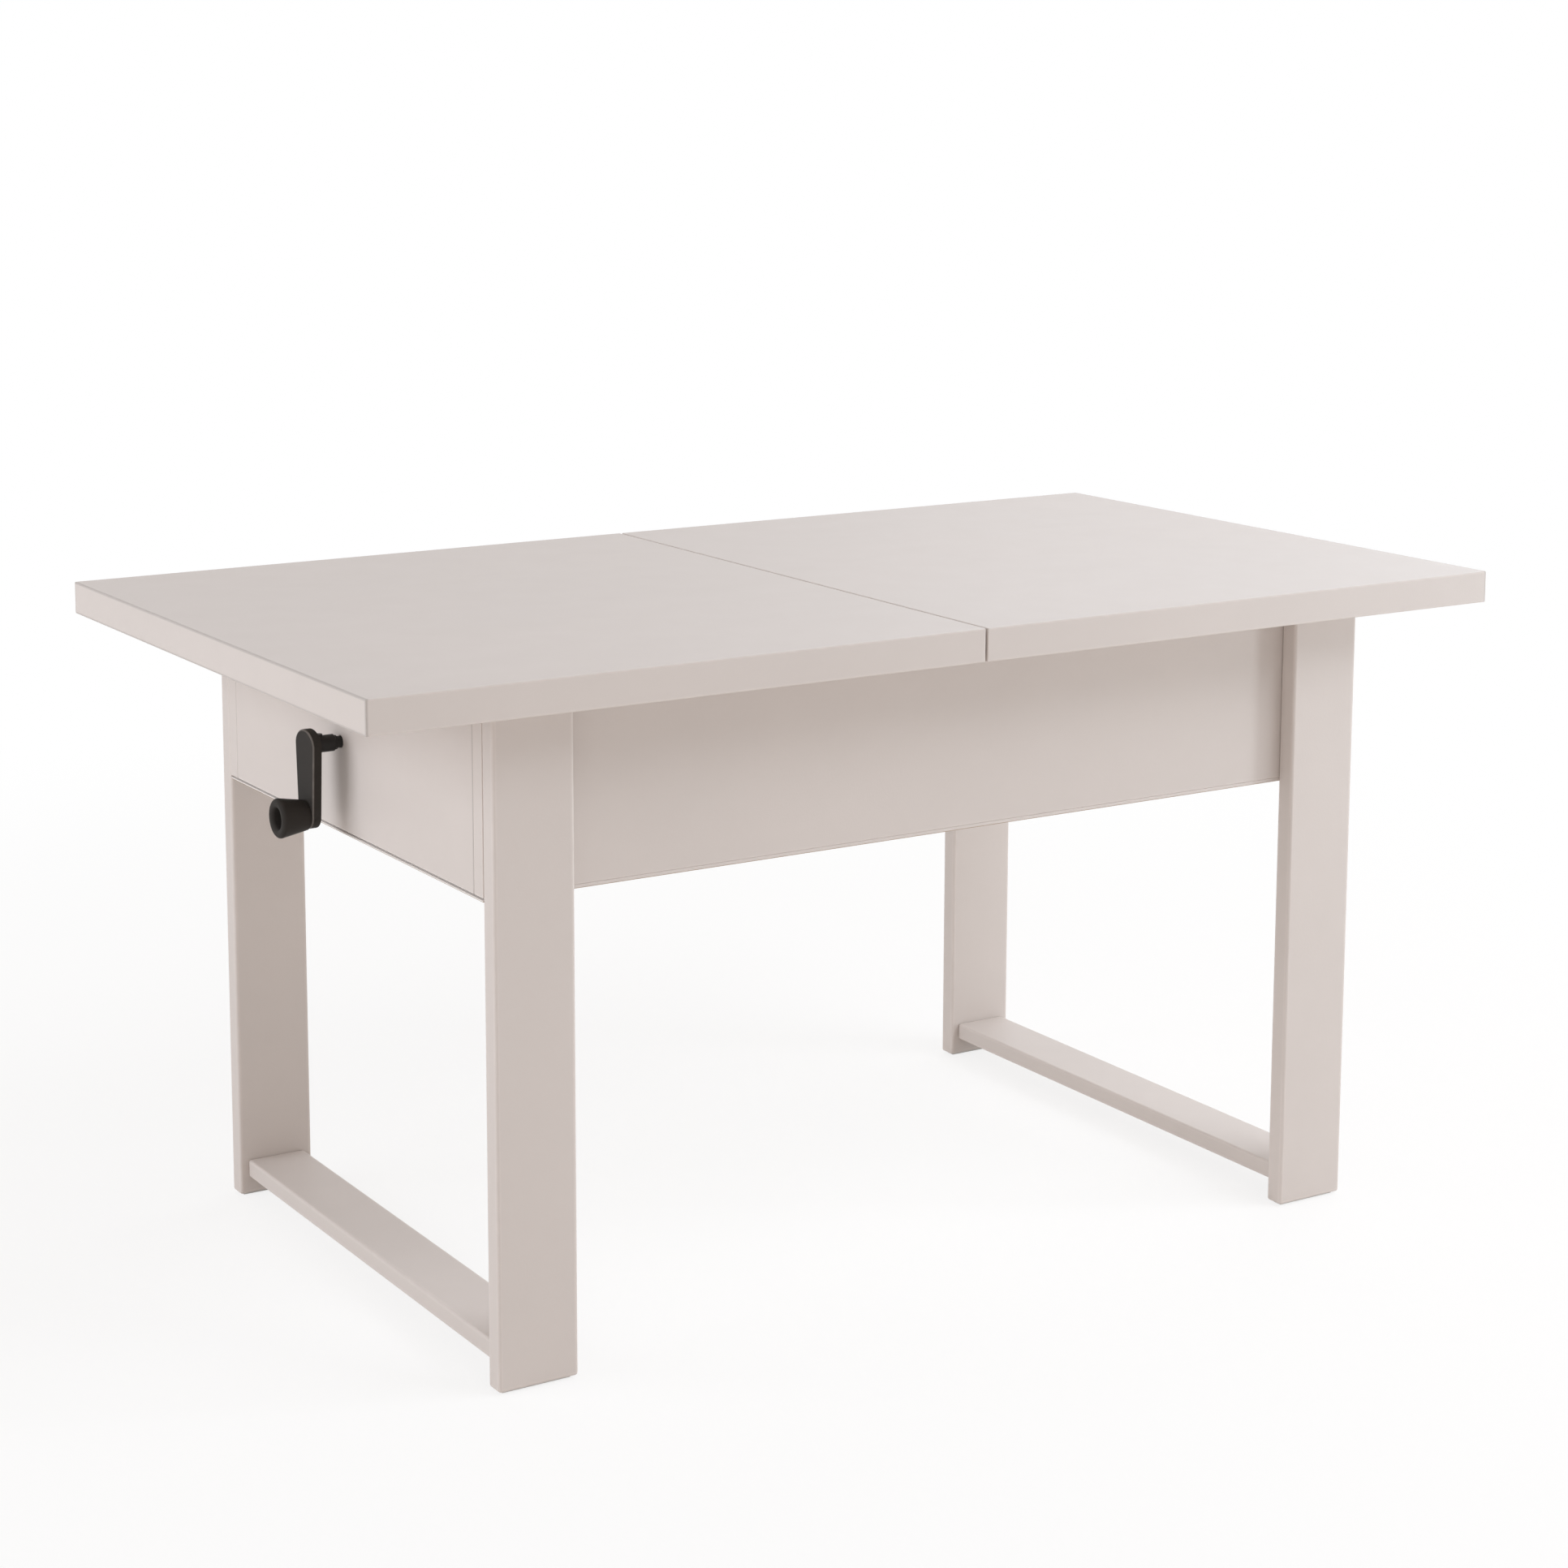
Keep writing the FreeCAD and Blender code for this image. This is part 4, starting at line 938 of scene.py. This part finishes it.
def frame_weld_lines():
    """Lines where tubes meet channels, bearers meet tubes, and rails sit on channels."""
    settings = bpy.context.scene.table_lift
    lines = []
    for end in ENDS:
        low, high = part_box("frame_bar_" + end)
        for y in (low.y, high.y):
            for x in (low.x, high.x):
                lines.append(((x, y, low.z), (x, y, high.z)))
            lines.append(((low.x, y, low.z), (high.x, y, low.z)))
    for side in SIDES:
        low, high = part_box("leaf_bearer_" + side)
        for x in (low.x, high.x):
            for y in (low.y, high.y):
                lines.append(((x, y, low.z), (x, y, high.z)))
        low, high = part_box("slide_rail_" + side)
        channel_low, channel_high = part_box("lift_channel_" + side)
        mouth = channel_high.y if side == "front" else channel_low.y
        for number in range(settings.stitch_count):
            share = (number + 0.5) / settings.stitch_count
            x = low.x + share * (high.x - low.x)
            lines.append(((x - settings.stitch / 2, mouth, low.z), (x + settings.stitch / 2, mouth, low.z)))
    return lines


def gear_weld_lines():
    """Upright lines where the gear frame's cheeks meet its flange."""
    start_share = 0.45
    low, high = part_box("gear_frame")
    x = low.x + GEAR_PLATE
    middle = (low.y + high.y) / 2
    half = GEAR_CHEEK_GAP / 2 + GEAR_PLATE
    bottom = low.z + start_share * (high.z - low.z)
    return [((x, y, bottom), (x, y, high.z)) for y in (middle - half, middle + half)]


def build_crank():
    """The crank's tapered arm, and the finishes of its spindle and knob."""
    build_crank_arm()
    dress_nodes(on_crank=True)


def arm_outline(steps=28):
    """Y and Z of points round the crank arm: half an ellipse at each end, joined by straight sides."""
    low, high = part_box("crank_arm")
    knob_low, knob_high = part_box("knob")
    middle = (low.y + high.y) / 2
    top, bottom = worm_axis_z(), (knob_low.z + knob_high.z) / 2
    half = (high.y - low.y) / 2
    low_half = half * bpy.context.scene.table_crank.arm_taper
    ends = ((half, top, high.z - top, 0), (low_half, bottom, bottom - low.z, math.pi))
    points = []
    for width, z, rise, start in ends:
        for step in range(steps + 1):
            angle = start + math.pi * step / steps
            points.append((middle + width * math.cos(angle), z + rise * math.sin(angle)))
    return points


def build_crank_arm():
    """Crank arm with a wide rounding round its outer face, where its edge attribute is 1 and its finish
    paints a highlight.
    """
    settings = bpy.context.scene.table_crank
    inside_share = 0.01
    low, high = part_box("crank_arm")
    form = bmesh.new()
    rim = [form.verts.new((low.x, y, z)) for y, z in arm_outline()]
    corners = len(rim)
    outer = form.faces.new(rim)
    raised = bmesh.ops.extrude_face_region(form, geom=[outer])["geom"]
    bmesh.ops.translate(form, verts=[item for item in raised if isinstance(item, bmesh.types.BMVert)],
                        vec=(high.x - low.x, 0, 0))
    bmesh.ops.recalc_face_normals(form, faces=form.faces)
    for x, radius in ((low.x, settings.arm_edge), (high.x, settings.arm_back_edge)):
        edges = [edge for edge in form.edges if all(abs(vertex.co.x - x) < TOUCH for vertex in edge.verts)]
        bmesh.ops.bevel(form, geom=edges, offset=radius, offset_type="OFFSET", segments=settings.arm_steps,
                        profile=0.5, affect="EDGES", clamp_overlap=True)
    flats = [face for face in form.faces if len(face.verts) == corners]
    bmesh.ops.inset_individual(form, faces=flats, thickness=settings.arm_back_edge, depth=0)
    # The edge attribute marks where the plastic finish paints its highlight.
    layer = form.verts.layers.float.new("edge")
    for vertex in form.verts:
        bend_share = (vertex.co.x - low.x) / settings.arm_edge
        vertex[layer] = float(inside_share < bend_share < 1 - inside_share)
    for face in form.faces:
        face.smooth = True
    made = add_object("detail_crank_arm", mesh_of(form, "detail_crank_arm"))
    even_shading(made)
    place_piece(made, body_of("crank_arm"), slot_of("crank_arm"), "crank_arm")


def seen_directly(graph):
    """1 for camera, glossy and transmitted rays, else 0."""
    outputs = graph.node("ShaderNodeLightPath").socket.node.outputs
    camera, glossy, through = (Value(graph, outputs[f"Is {kind} Ray"])
                               for kind in ("Camera", "Glossy", "Transmission"))
    return graph.node("ShaderNodeMath", {0: camera + glossy + through, 1: 1.0}, operation="MINIMUM")


def build_world(settings):
    """Warm even light from all round; white where it is seen directly."""
    world = bpy.data.worlds.new("studio")
    world.use_nodes = True
    bpy.context.scene.world = world
    graph = Graph(world.node_tree)
    warm = {"Color": (*settings.ambient_colour, 1), "Strength": settings.ambient}
    soft = graph.node("ShaderNodeBackground", warm)
    white = graph.node("ShaderNodeBackground", {"Color": (1, 1, 1, 1), "Strength": 1.0})
    mixed = graph.node("ShaderNodeMixShader", {0: seen_directly(graph), 1: soft, 2: white})
    graph.node("ShaderNodeOutputWorld", {"Surface": mixed})


def build_floor(settings):
    """Pale round floor that keeps the table's shadow, turns white further out and is clear from below."""
    form = bmesh.new()
    bmesh.ops.create_circle(form, cap_ends=True, segments=96, radius=settings.floor_radius)
    floor = add_object("floor", mesh_of(form, "floor"))
    finish = Finish("pale floor")
    distance = finish.node("ShaderNodeVectorMath", {0: finish.spot}, "Value", operation="LENGTH")
    share = finish.patchy(distance, least=0.8, low=0.7, high=2.2)
    plain = finish.node("ShaderNodeBsdfDiffuse", {"Color": (*settings.floor_colour, 1)})
    white = finish.node("ShaderNodeEmission", {"Color": (1, 1, 1, 1), "Strength": 1.0})
    above = finish.node("ShaderNodeMixShader", {0: share * seen_directly(finish), 1: plain, 2: white})
    below = finish.node("ShaderNodeBsdfTransparent")
    side = finish.node("ShaderNodeNewGeometry", output="Backfacing")
    mixed = finish.node("ShaderNodeMixShader", {0: side, 1: above, 2: below})
    finish.node("ShaderNodeOutputMaterial", {"Surface": mixed})
    floor.data.materials.append(finish.material)


def build_camera(settings):
    data = bpy.data.cameras.new("photograph")
    data.lens = settings.lens
    data.sensor_width = 36
    data.shift_x, data.shift_y = settings.shift
    data.clip_end = 50
    camera = add_object("photograph", data)
    camera.location = settings.place
    camera.rotation_euler = (math.pi / 2 - settings.pitch, 0, -settings.yaw)
    bpy.context.scene.camera = camera


# Place, size in metres, power in watts and colour of each soft lamp.
LAMPS = {
    "rear window": ((2.3, 1.5, 2.4), (2.4, 2.0), 20.0, (0.866, 0.929, 1.0)),
    "end window": ((-3.0, 0.4, 1.3), (2.2, 1.8), 43.0, (0.85, 0.92, 1.0)),
    "right window": ((3.2, 0.2, 1.5), (4.4, 2.6), 29.0, (0.85, 0.945, 1.0)),
    "low right": ((2.6, -1.6, 0.45), (0.4, 0.6), 17.0, (0.85, 0.94, 1.0)),
    "high front": ((1.7, -1.8, 2.9), (2.0, 1.6), 58.0, (0.86, 0.922, 1.0)),
    "low left": ((-2.2, -2.6, 0.6), (2.4, 1.0), 6.0, (1.0, 0.965, 0.905)),
}


def build_lamps():
    aim = Vector((0, 0, 0.4))
    for name, (place, size, power, colour) in LAMPS.items():
        light = bpy.data.lights.new(name, "AREA")
        light.shape = "RECTANGLE"
        light.size, light.size_y = size
        light.energy = power
        light.color = colour
        made = add_object(name, light)
        made.location = place
        made.rotation_mode = "QUATERNION"
        made.rotation_quaternion = (aim - Vector(place)).to_track_quat("-Z", "Y")


def build_stage():
    settings = bpy.context.scene.table_stage
    build_world(settings)
    build_floor(settings)
    build_camera(settings)
    build_lamps()
    bpy.context.scene.view_settings.view_transform = "Standard"


class TABLE_OT_frame(bpy.types.Operator):
    """Build the legs, the stretchers, and the box with its bottom sheet"""
    bl_idname = "table.frame"
    bl_label = "Legs and box"

    def execute(self, context):
        build_boards("frame_board", "bottom_sheet")
        return {"FINISHED"}


class TABLE_OT_top(bpy.types.Operator):
    """Build both halves of the top and the loose leaf"""
    bl_idname = "table.top"
    bl_label = "Top and leaf"

    def execute(self, context):
        build_boards("top_board")
        return {"FINISHED"}


class TABLE_OT_fastenings(bpy.types.Operator):
    """Build the screws and bolts with geometry nodes"""
    bl_idname = "table.fastenings"
    bl_label = "Fastenings"

    def execute(self, context):
        build_fastenings()
        return {"FINISHED"}


class TABLE_OT_lift(bpy.types.Operator):
    """Finish the scissor lift, its rails and its welds"""
    bl_idname = "table.lift"
    bl_label = "Lift"

    def execute(self, context):
        build_lift()
        return {"FINISHED"}


class TABLE_OT_crank(bpy.types.Operator):
    """Finish the crank and its knob"""
    bl_idname = "table.crank"
    bl_label = "Crank"

    def execute(self, context):
        build_crank()
        return {"FINISHED"}


class TABLE_OT_stage(bpy.types.Operator):
    """Build the floor, the light and the camera"""
    bl_idname = "table.stage"
    bl_label = "Stage"

    def execute(self, context):
        build_stage()
        return {"FINISHED"}


GROUPS = {"table_boards": BoardSettings, "table_crank": CrankSettings, "table_lift": LiftSettings,
          "table_fasteners": FastenerSettings, "table_stage": StageSettings}
OPERATORS = (TABLE_OT_frame, TABLE_OT_top, TABLE_OT_fastenings, TABLE_OT_lift, TABLE_OT_crank,
             TABLE_OT_stage)


class TABLE_PT_panel(bpy.types.Panel):
    """Settings and steps of the table, in the sidebar"""
    bl_idname = "TABLE_PT_panel"
    bl_label = "Coffee Table"
    bl_space_type = "VIEW_3D"
    bl_region_type = "UI"
    bl_category = "Table"

    def draw(self, context):
        for operator in OPERATORS:
            self.layout.operator(operator.bl_idname)
        for name, group in GROUPS.items():
            box = self.layout.box()
            for key in group.__annotations__:
                box.prop(getattr(context.scene, name), key)


CLASSES = (*GROUPS.values(), *OPERATORS, TABLE_PT_panel)


def register():
    for item in CLASSES:
        bpy.utils.register_class(item)
    for name, group in GROUPS.items():
        setattr(bpy.types.Scene, name, bpy.props.PointerProperty(type=group))


def unregister():
    for name in GROUPS:
        delattr(bpy.types.Scene, name)
    for item in reversed(CLASSES):
        bpy.utils.unregister_class(item)


def main():
    register()
    bpy.ops.table.frame()
    bpy.ops.table.top()
    bpy.ops.table.fastenings()
    bpy.ops.table.lift()
    bpy.ops.table.crank()
    bpy.ops.table.stage()


if __name__ == "__main__":
    main()
